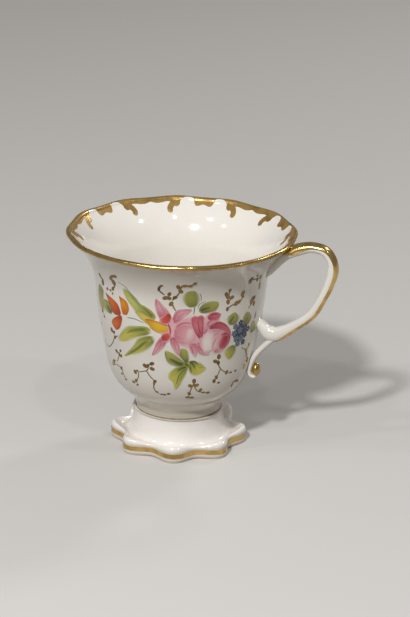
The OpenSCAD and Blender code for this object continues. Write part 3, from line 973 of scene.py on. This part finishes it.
# Petals and leaves: colour, layer, plain edge and deep edge, in degrees round the bowl and millimetres up
PETALS = [
    ("trumpet", 0, [(-94, 58.6), (-100.4, 61.8), (-105.8, 65.3), (-110, 68.4), (-111.4, 72.6)],
     [(-86.6, 61.3), (-92.4, 64.9), (-99.2, 68.3), (-106.2, 71.8), (-111.4, 72.7)]),
    ("straw", 1, [(-102.6, 63.2), (-98.6, 61), (-92.5, 58.8)],
     [(-102.6, 63.8), (-97.4, 63.8), (-92.4, 62.6), (-88, 61)]),
    ("yolk", 2, [(-96, 61.4), (-89, 61), (-83, 60), (-78, 58.8)],
     [(-96, 60.8), (-91, 57.6), (-85.5, 56.2), (-78.5, 56.4)]),
    ("wash", 1, [(-78, 57), (-74, 50.8), (-66, 47.6), (-58, 46.6), (-49, 46.8)],
     [(-78, 58.6), (-73, 63), (-66, 65.4), (-57, 64), (-49, 58.4)]),
    ("wash", 1, [(-87, 57.6), (-83, 53.6), (-78, 53), (-73, 56)],
     [(-87, 60), (-83, 63.4), (-77, 64.2), (-73, 60.6)]),
    ("lily", 3, [(-76.5, 62.4), (-78.5, 65.2), (-82.5, 68.4), (-87.5, 70.8)],
     [(-84.5, 61.2), (-87, 64.2), (-88.5, 67.6), (-87.5, 70.8)]),
    ("lily", 3, [(-76, 60.4), (-71.4, 61.4), (-67.2, 63.6), (-63.4, 66.6)],
     [(-77, 62.2), (-74.2, 66.2), (-69, 67), (-63.4, 66.6)]),
    ("heart", 4, [(-78.1, 64.8), (-80.6, 65), (-83.6, 63.6), (-85.4, 61.4)],
     [(-78.1, 64.8), (-76.9, 62.6), (-78.3, 60.1), (-81.6, 59.8), (-85.4, 61)]),
    ("heart", 4, [(-84.6, 54), (-83.2, 56.2), (-80.1, 56.9), (-77.2, 55.8)],
     [(-84.4, 53.8), (-82.6, 52.4), (-79.5, 52.5), (-77.2, 55.6)]),
    ("lily", 3, [(-79.5, 53.4), (-82, 50.4), (-86.5, 47.4), (-92, 45.6)],
     [(-85, 54.4), (-88.5, 51.2), (-90.5, 48.4), (-92, 45.6)]),
    ("lily", 3, [(-79, 54.8), (-78, 51.6), (-75.5, 48.4), (-71.5, 46.4)],
     [(-74.5, 55.6), (-72, 52.4), (-70.5, 49.2), (-71.5, 46.4)]),
    ("rose", 4, [(-75.5, 56.4), (-73.5, 52.4), (-67.5, 51), (-63.5, 52.4), (-61.5, 57.2)],
     [(-75.5, 56.4), (-74, 59.8), (-68, 61), (-63.5, 60), (-61.5, 57.2)]),
    ("rose", 3, [(-66, 52.6), (-65, 49.8), (-62.5, 47.2), (-60.5, 45.8)],
     [(-59, 52.4), (-58.5, 49.6), (-59, 47.2), (-60.5, 45.8)]),
    ("rose", 4, [(-59.5, 53), (-54, 50.2), (-50, 46.4)], [(-60.5, 51), (-57.5, 47.2), (-50, 46.2)]),
    ("rose", 4, [(-55.5, 57.8), (-56, 61.4), (-54.5, 64)], [(-49.5, 58.4), (-45.6, 60.2), (-44.6, 62.6)]),
    ("carmine", 5, [(-53.6, 62.4), (-50.8, 61), (-47.7, 60.8), (-45.2, 61.8), (-43.8, 63.6)],
     [(-53.6, 62.4), (-52.8, 64.2), (-50, 64.8), (-46.6, 64.6), (-43.8, 63.6)]),
    ("bloom", 5,
     [(-56, 54), (-54.4, 49.8), (-51, 47.3), (-45.2, 46.7), (-40.8, 47.1), (-37.1, 48.3), (-34.8, 50.4),
      (-33.8, 53)],
     [(-56, 54), (-54, 57.8), (-50, 60), (-45.4, 60.7), (-40.5, 59.1), (-36.2, 56.6), (-33.8, 53)]),
    ("carmine", 6, [(-52.8, 57.6), (-48.7, 57.4), (-45.1, 57), (-41.2, 56), (-36.8, 54.4), (-33.6, 53)],
     [(-52.8, 57.6), (-50.2, 60), (-45.8, 60.8), (-40.6, 59.4), (-36.2, 56.8), (-33.6, 53)]),
    ("olive", 0, [(-63.4, 67.2), (-68.2, 67.8), (-71.4, 70.6), (-69.4, 73.9), (-64.8, 75)],
     [(-63, 67.2), (-59.6, 68.6), (-58.4, 71.4), (-61.1, 74.2), (-64.8, 75)]),
    ("leaf", 0, [(-59.8, 65.4), (-59.4, 67.7), (-56.4, 69.7), (-51, 70), (-45.8, 68.8)],
     [(-59.4, 65), (-54.3, 64.2), (-48.9, 64.2), (-46.2, 66), (-45.8, 68.8)]),
    ("olive", 0, [(-36.6, 57.8), (-39.8, 60.4), (-39.2, 62.3), (-33.2, 63.5)],
     [(-35.6, 57.8), (-29.4, 58), (-27.6, 60.4), (-33.2, 63.5)]),
    ("leaf", 0, [(-23.4, 56), (-26, 59.4), (-23.4, 62), (-18.6, 61.2)],
     [(-22.4, 56), (-16.4, 55.6), (-14.4, 58), (-18.6, 61.2)]),
    ("olive", 0, [(-13, 51.2), (-16.5, 54.6), (-14, 57.2)], [(-13, 51.2), (-5, 51.4), (-8, 56)]),
    ("spring", 0, [(-29.8, 49), (-36, 48.8), (-38.4, 46.2), (-33.4, 42.5)],
     [(-28.4, 48.6), (-26.4, 45.6), (-28.8, 43.3), (-33.4, 42.5)]),
    ("leaf", 1, [(-65.8, 43), (-69.4, 45.4), (-74.6, 47.9), (-82, 49.2)],
     [(-65.4, 42), (-72.7, 41.4), (-80.3, 42.8), (-82.4, 46), (-82, 49.2)]),
    ("leaf", 2, [(-65.3, 42.8), (-64, 45.7), (-65, 48.6), (-68.2, 50.2)],
     [(-66.5, 42.8), (-70.4, 45.2), (-73.4, 47.2), (-71.8, 49.6), (-68.2, 50.2)]),
    ("spring", 0, [(-65.5, 42.2), (-73.5, 42.4), (-80, 39.6), (-81, 36.6), (-77, 35.2), (-75, 30.8)],
     [(-64.5, 42), (-65.5, 38.4), (-68, 34.8), (-72, 32.2), (-75, 30.8)]),
    ("spring", 0, [(-65.5, 42.4), (-64, 38.4), (-58.5, 37.2), (-50.5, 40.4)],
     [(-65.5, 44.4), (-61, 45), (-55.5, 43.8), (-50.5, 40.4)]),
    ("rust", 1, [(-114.4, 61), (-116.4, 64.2), (-122, 66.2), (-131, 67.2)],
     [(-114.6, 60), (-120.8, 59.4), (-124.8, 60.8), (-127, 63.8), (-131, 67.2)]),
    ("amber", 0, [(-112.9, 60.6), (-114.5, 63), (-114.9, 65.8), (-115.5, 68.4)],
     [(-109.6, 60.8), (-107, 63.6), (-108.8, 66.9), (-115.5, 68.4)]),
    ("rust", 1, [(-115.5, 60.3), (-123, 57.8), (-126, 55.2), (-121.3, 52.9)],
     [(-114, 60.3), (-113.9, 57.8), (-116.8, 54.4), (-121.3, 52.9)]),
    ("leaf", 0, [(-124, 59), (-131.4, 58.4), (-135.2, 60), (-136.2, 63.4)],
     [(-124, 59), (-122.6, 62), (-125, 64.8), (-136.2, 63.6)]),
    ("spring", 0,
     [(-90.2, 55.9), (-94.7, 53.8), (-100.8, 52.3), (-106.4, 50.6), (-113.2, 48.8), (-122, 48.5)],
     [(-90.2, 57.5), (-96, 58), (-102.8, 58), (-109.8, 57), (-116, 53.6), (-122, 48.5)]),
    ("spring", 0, [(-88.3, 53.6), (-89.8, 50.4), (-94.9, 47.3), (-102.2, 45.1), (-109.1, 44), (-118, 42)],
     [(-88.3, 54.4), (-94.6, 54.7), (-101.8, 53), (-105.2, 50), (-109.2, 47.1), (-118, 42)]),
    ("night", 0, [(-32.6, 52.4), (-32, 56), (-27.5, 58.2), (-22.5, 56.6)],
     [(-30.4, 50.4), (-26.5, 48.4), (-20, 50), (-18, 54.2)]),
]

# Strokes: colour, layer, width, ends, spine
STROKES = [
    ("moss", 1, 3.0, (0.4, 0.9), [(-88.2, 61.6), (-93, 64.4), (-98.8, 67.2)]),
    ("stem", 1, 0.5, (0.2, 0.2), [(-114.5, 75.2), (-109, 73.8), (-106, 71.6), (-98.5, 67.8)]),
    ("stem", 0, 0.45, (0.2, 0.3), [(-110.5, 60), (-103, 60.4), (-95, 59.2)]),
    ("amber", 3, 0.8, (0.5, 0.5), [(-96, 61.2), (-89, 61), (-83, 60), (-79, 59.2)]),
    ("amber", 3, 0.5, (0.5, 0.5), [(-92.5, 58.4), (-88.5, 56.8), (-84, 56)]),
    ("heart", 5, 1.0, (0.5, 0.5), [(-80, 60.8), (-78.8, 59.4), (-78, 57.7), (-78.3, 56.2), (-79.6, 55.3)]),
    ("fold", 4, 0.7, (0.3, 0.6), [(-80, 63), (-83, 66.4), (-86.6, 70)]),
    ("fold", 4, 0.7, (0.3, 0.6), [(-75, 62), (-70.5, 64.4), (-66, 66)]),
    ("fold", 4, 0.7, (0.3, 0.6), [(-82.5, 53), (-86.5, 49.4), (-90.6, 46.4)]),
    ("fold", 4, 0.7, (0.3, 0.6), [(-76.5, 54), (-74.8, 50.6), (-72.4, 47.4)]),
    ("fold", 5, 1.3, (0.4, 0.5), [(-75, 58), (-71.5, 60.4), (-66.5, 61), (-62.5, 59.8)]),
    ("petal", 5, 4.6, (0.5, 0.5), [(-67.6, 51.8), (-65, 55.2), (-64.6, 59.2)]),
    ("blush", 6, 3.6, (0.8, 0.3), [(-57.6, 53.6), (-60.4, 58.4), (-62.4, 64)]),
    ("blush", 7, 3.2, (0.8, 0.3), [(-56.6, 54), (-57.4, 58.6), (-58.4, 64.2)]),
    ("rose", 6, 3.0, (0.8, 0.3), [(-56.2, 55), (-55.4, 59.2), (-55, 63)]),
    ("fold", 8, 0.9, (0.5, 0.5), [(-56, 59.4), (-56.4, 57)]),
    ("crimson", 8, 0.7, (0.4, 0.6), [(-57.2, 55), (-59.2, 59), (-60.6, 63)]),
    ("crimson", 8, 0.5, (0.4, 0.6), [(-56.4, 55), (-56.6, 59), (-57, 62.6)]),
    ("fold", 5, 1.0, (0.4, 0.6), [(-64, 51.8), (-63, 49.6), (-61.4, 47)]),
    ("fold", 5, 1.0, (0.4, 0.6), [(-59.5, 51.8), (-56.5, 49.4), (-52.5, 47.2)]),
    ("fold", 5, 1.2, (0.4, 0.6), [(-54.5, 58.6), (-52, 61), (-47, 61.6)]),
    ("crimson", 7, 4.6, (0.5, 0.6), [(-38.4, 55), (-39, 51.8), (-41.8, 48.2)]),
    ("crimson", 7, 1.3, (0.5, 0.5), [(-43, 54.2), (-39.6, 55), (-35.9, 53.4), (-35.6, 51)]),
    ("heart", 8, 0.8, (0.5, 0.5), [(-40.8, 54.4), (-38.8, 54.5), (-36.8, 53.6)]),
    ("crimson", 7, 1.1, (0.5, 0.5), [(-50.4, 59.2), (-45.6, 60.1), (-40.6, 58.7), (-36.2, 56)]),
    ("crimson", 7, 1.5, (0.5, 0.5), [(-53, 63.4), (-49, 64), (-45, 63.6)]),
    ("pearl", 7, 6.4, (0.4, 0.4), [(-50.2, 57.4), (-52.4, 52.8), (-51, 47.2)]),
    ("bloom", 5, 3.6, (0.5, 0.5), [(-48, 48.4), (-43, 48), (-37.4, 49.6)]),
    ("petal", 6, 4.8, (0.5, 0.5), [(-45.8, 56.6), (-47.2, 52), (-46.2, 47.8)]),
    ("fold", 6, 1.2, (0.4, 0.6), [(-54.8, 55.2), (-53.6, 57.4), (-52, 58.6)]),
    ("fold", 8, 0.45, (0.4, 0.6), [(-44.9, 56), (-47.3, 55.2), (-49.2, 54.6)]),
    ("fold", 8, 0.55, (0.4, 0.6), [(-45.8, 54), (-47.5, 51.8), (-48.3, 49.1)]),
    ("stem", 1, 0.35, (0.3, 0.3), [(-60, 73.8), (-58.5, 71.6), (-58.5, 69.6)]),
    ("stem", 1, 0.5, (0.2, 0.2), [(-62.5, 68), (-62.5, 66), (-63, 64.2)]),
    ("stem", 1, 0.35, (0.3, 0.3), [(-60.5, 66.4), (-59, 68.8), (-55, 69.8)]),
    ("shade", 1, 2.2, (0.4, 0.8), [(-59.5, 65.6), (-56, 66.4), (-51, 67.2)]),
    ("moss", 1, 3.0, (0.4, 0.8), [(-91.5, 56.8), (-99, 56.4), (-107, 54.8), (-112, 52.6)]),
    ("moss", 1, 2.0, (0.4, 0.6), [(-90, 53), (-97, 50.8), (-104, 47.2), (-116.5, 42.4)]),
    ("shade", 3, 3.0, (0.4, 0.7), [(-66.5, 42.9), (-72.5, 43.4), (-80.4, 46)]),
    ("shade", 1, 2.2, (0.4, 0.8), [(-65, 42), (-69.5, 41.4), (-74, 39.6)]),
    ("shade", 1, 0.6, (0.4, 0.6), [(-66.5, 41.6), (-71, 38.6), (-74.4, 33)]),
    ("shade", 1, 1.4, (0.4, 0.8), [(-65.5, 44), (-62, 43.2), (-59.5, 40.4)]),
    ("shade", 1, 1.3, (0.4, 0.8), [(-65.5, 43.6), (-61, 44), (-57, 42.4)]),
    ("shade", 1, 0.8, (0.4, 0.8), [(-65.5, 43), (-63.4, 41.4), (-62.4, 38.8)]),
    ("shade", 3, 1.8, (0.5, 0.5), [(-68, 43.6), (-65.8, 42.6), (-63.8, 42.2)]),
    ("shade", 1, 1.4, (0.4, 0.6), [(-37, 58.4), (-35.6, 60), (-33, 62)]),
    ("shade", 1, 1.2, (0.4, 0.6), [(-22.6, 57), (-20.6, 58.2), (-19, 59.8)]),
    ("olive", 0, 7.6, (0.5, 0.6), [(-134, 69.6), (-139, 63.8), (-135.4, 57.6)]),
    ("shade", 1, 2.2, (0.5, 0.6), [(-124.6, 59.2), (-127, 60.6), (-131, 62.2)]),
    ("violet", 1, 1.4, (0.5, 0.5), [(-10.1, 56.7), (-10.2, 58.3), (-9.6, 60.1)]),
    ("stem", 0, 0.35, (0.3, 0.3), [(-13, 55.4), (-11.1, 56.1), (-10.1, 57)]),
    ("stem", 1, 0.6, (0.3, 0.3), [(-139.5, 58.6), (-136.5, 57), (-133.5, 55.6)]),
]

# Forget-me-nots: degrees round, millimetres up and colour of each flower
FLORETS = [
    (-31, 56.8, "sky"), (-26.5, 57.8, "dusk"), (-21, 55.2, "dusk"), (-31.5, 54, "sky"),
    (-26.2, 54.6, "sky"), (-20.2, 51.8, "dusk"), (-29, 51.2, "sky"), (-24.2, 51, "sky"),
    (-26.5, 48.8, "sky"), (-17.8, 54, "dusk"), (-21, 48.8, "dusk"),
]
FLORET_PETALS, FLORET_TURN = 5, 23
FLORET_R, FLORET_PETAL, FLORET_EYE = 0.8, (1.3, 1.15), 0.38
FLORET_LAYER, FLORET_EYE_LAYER = 2, 4


def draw_florets():
    spots = []
    for number, (turn, height, colour) in enumerate(FLORETS):
        middle = np.array(flat_place(turn, height))
        for k in range(FLORET_PETALS):
            lean = 360 / FLORET_PETALS * k + FLORET_TURN * number
            spots.append(flat_spot(
                middle + swung(FLORET_R, lean), *FLORET_PETAL, lean, FLORET_LAYER, PALETTE[colour]
            ))
        spots.append(flat_spot(middle, FLORET_EYE, FLORET_EYE, 0, FLORET_EYE_LAYER, PALETTE["yolk"]))
    return spots


def draw_spray():
    """The flower spray, flat."""
    petals = [
        flat_petal(flat_places(plain), flat_places(deep), layer, PALETTE[colour])
        for colour, layer, plain, deep in PETALS
    ]
    strokes = [
        flat_stroke(flat_places(spine), width, ends, layer, STROKE_GRID, PALETTE[colour])
        for colour, layer, width, ends, spine in STROKES
    ]
    return join_up("flower_spray", [*petals, *strokes, *draw_florets()])


# Gold sprigs: dabs (degrees round, millimetres up, lean, size), then vines (width, places)
SPRIG_DABS = [
    (-81, 71.2, 20, 1.46), (-79, 71.2, -20, 1.34), (-78.5, 73, 70, 1.22), (-75, 71.6, 30, 1.22),
    (-73, 76.6, 100, 1.34), (-71.5, 74.6, -60, 1.46), (-72, 76.2, 0, 0.98), (-69.5, 77.2, 0, 0.98),
    (-66, 77.2, -10, 0.98), (-63.5, 78.4, 30, 0.98), (-77.5, 68.8, 60, 1.34), (-41.5, 71.6, 100, 1.34),
    (-39.5, 73.2, 70, 1.1), (-40, 70.2, 150, 1.22), (-37, 69.8, 20, 1.34), (-39.5, 68.2, 100, 1.34),
    (-39.5, 65.2, 80, 1.1), (-32.5, 66.8, 30, 1.59), (-30, 67.2, 70, 1.1), (-28, 70.4, 60, 1.59),
    (-27.5, 68.8, 20, 0.98), (-24.5, 75.2, 95, 1.71), (-24, 76, 60, 1.46), (-17, 74.6, 100, 1.34),
    (-19.5, 76.8, 80, 0.85), (-14, 75.2, 110, 1.46), (-10.5, 71.2, 100, 1.34), (-10, 70, 90, 1.22),
    (-16.5, 66, 85, 1.59), (-18, 65.2, 100, 1.46), (-14.5, 64, 60, 1.22), (-14.5, 66.6, 80, 0.98),
    (-125, 43.2, 140, 1.1), (-122, 42.4, 120, 1.1), (-120, 42, 60, 1), (-120, 44.2, 60, 0.9),
    (-131, 37.8, 100, 1.2), (-134.5, 36, 90, 0.9), (-122, 36.4, 60, 1), (-123, 33.8, 0, 0.7),
    (-119, 31.8, 0, 0.7), (-97.5, 40.8, 150, 1.4), (-92, 42.2, 30, 1.3), (-92, 40, -20, 1.3),
    (-95, 41.2, 90, 0.9), (-107, 37, 120, 1.2), (-105, 37.8, 20, 0.7), (-110.5, 32, 150, 1),
    (-107.5, 33, 80, 1.1), (-107, 31.2, 60, 0.8), (-90.5, 34.4, 60, 1.1), (-91.5, 33.2, 100, 0.7),
    (-90, 29.6, 0, 0.7), (-86, 28.6, 0, 0.7), (-83.5, 28.6, 0, 0.8), (-80, 29.2, 20, 0.9),
    (-127, 52, 110, 1.3), (-124.5, 51.4, 60, 1), (-124, 49.4, 45, 1.2), (-60, 35.4, 90, 1.3),
    (-62.5, 33.2, 150, 1.3), (-58, 33.4, 20, 1.3), (-60, 33.8, 90, 0.8), (-54, 31, 60, 1.1),
    (-51, 29.6, 20, 0.8), (-47, 29.2, 0, 1), (-63, 29.6, 110, 1.1), (-64, 27.6, 0, 1.1),
    (-60.5, 27.4, 0, 1.1), (-42, 45, 90, 1.4), (-44.5, 43.2, 150, 1.3), (-42, 42.4, 100, 1.2),
    (-33, 37.2, 60, 1.2), (-28.5, 36.6, 10, 0.7), (-23.5, 36.6, 0, 0.8), (-42, 36, 110, 1.1),
    (-43.5, 34.4, 90, 1.2), (-39, 33.2, 0, 0.8), (-18, 31.2, 0, 1.2), (-22.5, 30, 70, 0.9),
    (-14, 43.6, 100, 1.2), (-12, 41.6, 60, 1), (-9, 39, 80, 1.6), (-11.5, 46, 90, 1), (-133, 74, 110, 1.22),
    (-132, 70.8, 100, 1.59), (-118, 73.6, 120, 1.83), (-127, 69.2, 60, 0.98), (-123.5, 69.2, 0, 0.85),
    (-120.5, 70.4, 60, 1.22), (-121.5, 68.2, 90, 0.73), (-138, 58, 110, 1.2), (-145.5, 51, 90, 0.7),
    (-136, 56, 110, 0.9),
]
SPRIG_VINES = [
    (1, [(-85, 74), (-84.5, 75.6), (-83, 76.8), (-82, 76.4)]),
    (0.62, [(-85, 74.4), (-83, 73.2), (-81.5, 72.4)]),
    (0.59, [(-77, 70.2), (-75, 71.4), (-72.5, 73.6), (-71.5, 75.2)]),
    (0.65, [(-71.5, 76.8), (-69, 77.6), (-67, 77), (-65, 77.6), (-63, 78.4)]),
    (0.59, [(-77, 69.6), (-76.5, 68.2), (-75, 66.4), (-74, 65.8)]),
    (0.59, [(-39.5, 73.2), (-39.5, 70.8), (-38, 69), (-39.5, 68)]),
    (0.59, [(-39.5, 65), (-37, 66.2), (-33, 66.8), (-29, 67.4), (-27.5, 68.8)]),
    (0.91, [(-29.5, 69.4), (-28.2, 70.4), (-27, 71.6)]), (0.59, [(-23, 75.6), (-18.5, 75.2), (-14, 74.8)]),
    (0.59, [(-12.5, 73.8), (-11.5, 72.4), (-10.5, 71.2)]),
    (0.59, [(-20.5, 62.8), (-18.5, 64), (-16.5, 65.2)]),
    (0.45, [(-121.5, 43), (-123.5, 40.8), (-126.5, 38.4)]),
    (0.6, [(-129.5, 36.4), (-133.5, 36.4), (-133, 37.6), (-127.5, 38.8)]),
    (0.45, [(-128.5, 37.2), (-125, 36.8), (-121.5, 36.4), (-121, 34), (-119, 31.8)]),
    (0.45, [(-95, 40.8), (-96.5, 38.8), (-105, 37.2)]), (0.45, [(-104, 37.2), (-104.5, 35.2), (-107, 33)]),
    (0.45, [(-97, 38.8), (-94, 36.4), (-90.5, 34.6)]),
    (0.45, [(-90.5, 33.8), (-92, 31.6), (-90.5, 29.6), (-87.5, 28.8)]),
    (0.45, [(-126, 51.6), (-125.2, 51), (-124.5, 50.4)]),
    (0.48, [(-119.5, 50.8), (-124.5, 49.2), (-129, 46), (-136, 43.2), (-141.5, 43.2), (-145, 44.8)]),
    (0.45, [(-60, 33.6), (-58, 31.6), (-55, 30.2), (-46, 29)]), (0.45, [(-61, 33), (-63, 29.6), (-63, 28)]),
    (0.45, [(-42.5, 42.8), (-39.5, 39.6), (-33.5, 37.2), (-28.5, 36.4)]),
    (0.45, [(-39.5, 39.6), (-40.5, 37.6), (-42, 35.8), (-43, 34.4)]),
    (0.8, [(-22, 28.6), (-22, 31.2), (-17, 31.4), (-13, 29.6)]),
    (0.5, [(-12, 47.2), (-11.5, 45.2), (-15.5, 44.6), (-21, 46.4)]),
    (0.45, [(-14.5, 44), (-12.4, 41.8), (-9, 38.6)]),
    (1, [(-132.5, 74.4), (-132.5, 72.8), (-130.5, 72.4), (-131.5, 70)]),
    (1.2, [(-120.5, 74.4), (-118, 76.2), (-114, 77.2), (-113, 76.8)]),
    (0.78, [(-119, 74.6), (-117, 73.6), (-118.5, 71.6), (-120.5, 70.4)]),
]
SPRIG_DAB = (1.85, 1.22)
SPRIG_LAYER, VINE_LAYER = 1, 0
VINE_GRID = (18, 2)
VINE_ENDS = (0.1, 0.2)
VINE_SWELL = 1.05


def draw_sprigs():
    """All the gold sprigs round the spray, flat."""
    length, breadth = SPRIG_DAB
    dabs = [
        flat_spot(flat_place(turn, height), size * length, size * breadth, lean, SPRIG_LAYER, sprig_gold)
        for turn, height, lean, size in SPRIG_DABS
    ]
    vines = [
        flat_stroke(flat_places(spine), width * VINE_SWELL, VINE_ENDS, VINE_LAYER, VINE_GRID, sprig_gold)
        for width, spine in SPRIG_VINES
    ]
    return join_up("gold_sprigs", [*dabs, *vines])


def paint_both_sides(drawing, slot):
    """A flat drawing laid on the front of the bowl, and a smaller copy of it, turned over, on the back."""
    back = copy_of(drawing)
    back.name = "back_" + drawing.name
    lay_on(drawing, OUTSIDE, PAINT_TURN, run_at(PAINT_H))
    lay_on(back, OUTSIDE, BACK_TURN, run_at(PAINT_H), BACK_SIZE, -1)
    for piece in (drawing, back):
        fire_on(piece, slot)


# Gilt border inside the rim: patches with a scroll on either side, by degrees from the patch and depth
REPEATS = 6
PATCH_TURN = 36.7
HALF_REPEAT = 180 / REPEATS
BORDER_SIDES = 840
BORDER_ROWS = 20
BORDER_LIFT = 0.05
BORDER_DEPTHS = [
    (-1.2, 3.7), (0, 3.5), (1.2, 3.7), (2.6, 4.2), (3.8, 4.3), (4.8, 3.9), (5.4, 2.9), (5.7, 1.7), (6.2, 0.9),
    (7.2, 0.45), (9.0, 0.4), (10.6, 0.65), (11.8, 1.25), (12.9, 2.2), (13.9, 3.2), (15.6, 3.5), (17.6, 3.1),
    (19.4, 2.6), (21.4, 2.6), (23.6, 2.9), (25.6, 3.0), (27.4, 2.8), (28.8, 2.4), (HALF_REPEAT, 2.1),
    (HALF_REPEAT + 1.2, 2.4),
]
SCROLL_LAYER = 3
SCROLLS = [
    (3.0, (0.08, 0.35), [(15.6, 1.4), (16.0, 2.8), (17.2, 4.2), (17.8, 5.6), (17.4, 6.8), (16.4, 7.6)]),
    (2.0, (0.5, 0.5), [(17.6, 5.6), (17.4, 6.8), (16.2, 7.6)]),
    (2.6, (0.2, 0.45), [(15.4, 2.2), (14.6, 3.6), (14.6, 5.2)]),
]


def make_border():
    depths = smooth_line(BORDER_DEPTHS, LINE_STEPS)
    radius = wall_line[-1][0] - WALL

    def band(u, v):
        turn = 360 * u
        apart = np.abs((turn - PATCH_TURN + HALF_REPEAT) % (2 * HALF_REPEAT) - HALF_REPEAT)
        depth = np.interp(apart, depths[:, 0], depths[:, 1])
        return on_face(INSIDE, turn, v * depth, np.full_like(u, BORDER_LIFT))

    def draw_scroll(width, ends, spine):
        places = [(math.radians(turn) * radius, down) for turn, down in spine]
        return flat_stroke(places, width, ends, SCROLL_LAYER, STROKE_GRID, brushed_gold)

    strip = shape_sheet("gilt_border", BORDER_SIDES, BORDER_ROWS, band)
    at_bench(strip, merge_doubles)
    strip.data.materials.append(brushed_gold)
    scroll = join_up("scroll", [draw_scroll(*values) for values in SCROLLS])
    laid = [
        lay_on(copy_of(scroll), INSIDE, PATCH_TURN + 2 * HALF_REPEAT * k, 0, 1, side)
        for k in range(REPEATS) for side in (1, -1)
    ]
    bpy.data.objects.remove(scroll)
    border = join_up("gilt_border", [strip, *laid])
    write_points(border, scalloped(read_points(border)))
    fire_on(border, "gilding")


# Stage: lamps by name, place, size and power, in metres and watts
FLOOR_SIZE = 8
PAPER_SEEN, PAPER_DIM, PAPER_ROUGHNESS = rgb(208, 206, 203), rgb(128, 121, 110), 0.9
STUDIO, STUDIO_STRENGTH = rgb(207, 203, 196), 0.35
LAMPS = [
    ("key", (-0.02, -0.87, 0.86), 0.095, 9.2),
    ("high_left", (-0.29, -0.62, 1.05), 0.07, 0.9),
    ("high_right", (0.32, -0.5, 1.1), 0.07, 0.9),
    ("side_left", (-0.63, -0.6, 0.9), 0.07, 0.8),
    ("side_right", (0.79, -0.11, 0.97), 0.07, 0.8),
    ("back", (0.4, 0.9, 0.8), 0.22, 2.6),
]
LAMPS_AIM = (0, 0, 0.05)


def make_stage():
    """Pale paper under plain soft lamps; the paper looks pale, but sends less light back up than it shows."""
    floor = start("floor", bpy.ops.mesh.primitive_plane_add, size=FLOOR_SIZE)
    material, tree, shader = new_material("studio_paper")
    rays = put(tree, "LightPath").outputs
    mirrored = sums(tree, "MAXIMUM", rays["Is Glossy Ray"], rays["Is Transmission Ray"])
    seen = sums(tree, "MAXIMUM", rays["Is Camera Ray"], mirrored)
    feed(tree, mix(tree, seen, PAPER_DIM, PAPER_SEEN), shader.inputs["Base Color"])
    shader.inputs["Roughness"].default_value = PAPER_ROUGHNESS
    floor.data.materials.append(material)
    world = bpy.data.worlds.new("studio")
    bpy.context.scene.world = world
    world.use_nodes = True
    sky = world.node_tree.nodes["Background"].inputs
    sky["Color"].default_value, sky["Strength"].default_value = STUDIO, STUDIO_STRENGTH
    for name, place, size, power in LAMPS:
        light = bpy.data.lights.new(name, "AREA")
        light.shape, light.size, light.energy = "DISK", size, power
        lamp = bpy.data.objects.new(name, light)
        bpy.context.collection.objects.link(lamp)
        lamp.location = place
        lamp.rotation_euler = (Vector(LAMPS_AIM) - lamp.location).to_track_quat("-Z", "Y").to_euler()


CAMERA_PLACE = (292.8, -870.2, 388.7)
CAMERA_TURN, CAMERA_DOWN, CAMERA_ROLL = 18.0, 19.98, 1.285
CAMERA_LENS, CAMERA_SENSOR = 145.34, 36.0


def make_camera():
    camera = bpy.data.objects.new("camera", bpy.data.cameras.new("camera"))
    bpy.context.collection.objects.link(camera)
    camera.data.lens = CAMERA_LENS
    camera.data.sensor_width = CAMERA_SENSOR
    camera.location = [p * MM for p in CAMERA_PLACE]
    turn, down, roll = (math.radians(a) for a in (CAMERA_TURN, 90 - CAMERA_DOWN, CAMERA_ROLL))
    aim = Matrix.Rotation(turn, 3, "Z") @ Matrix.Rotation(down, 3, "X") @ Matrix.Rotation(roll, 3, "Z")
    camera.rotation_euler = aim.to_euler()
    bpy.context.scene.camera = camera


make_stage()
make_camera()
bpy.context.scene.view_settings.view_transform = "Standard"

make_bowl()
make_rim_gilding()
make_foot()
make_foot_gilding()
make_slip_joint()
make_band("glazed_loop", LOOP, "handle_loop")
make_band("glazed_strut", STRUT, "handle_strut")
make_handle_gilding()
make_bead()
make_border()
paint_both_sides(draw_spray(), "porcelain")
paint_both_sides(draw_sprigs(), "gilding")
make_guard()
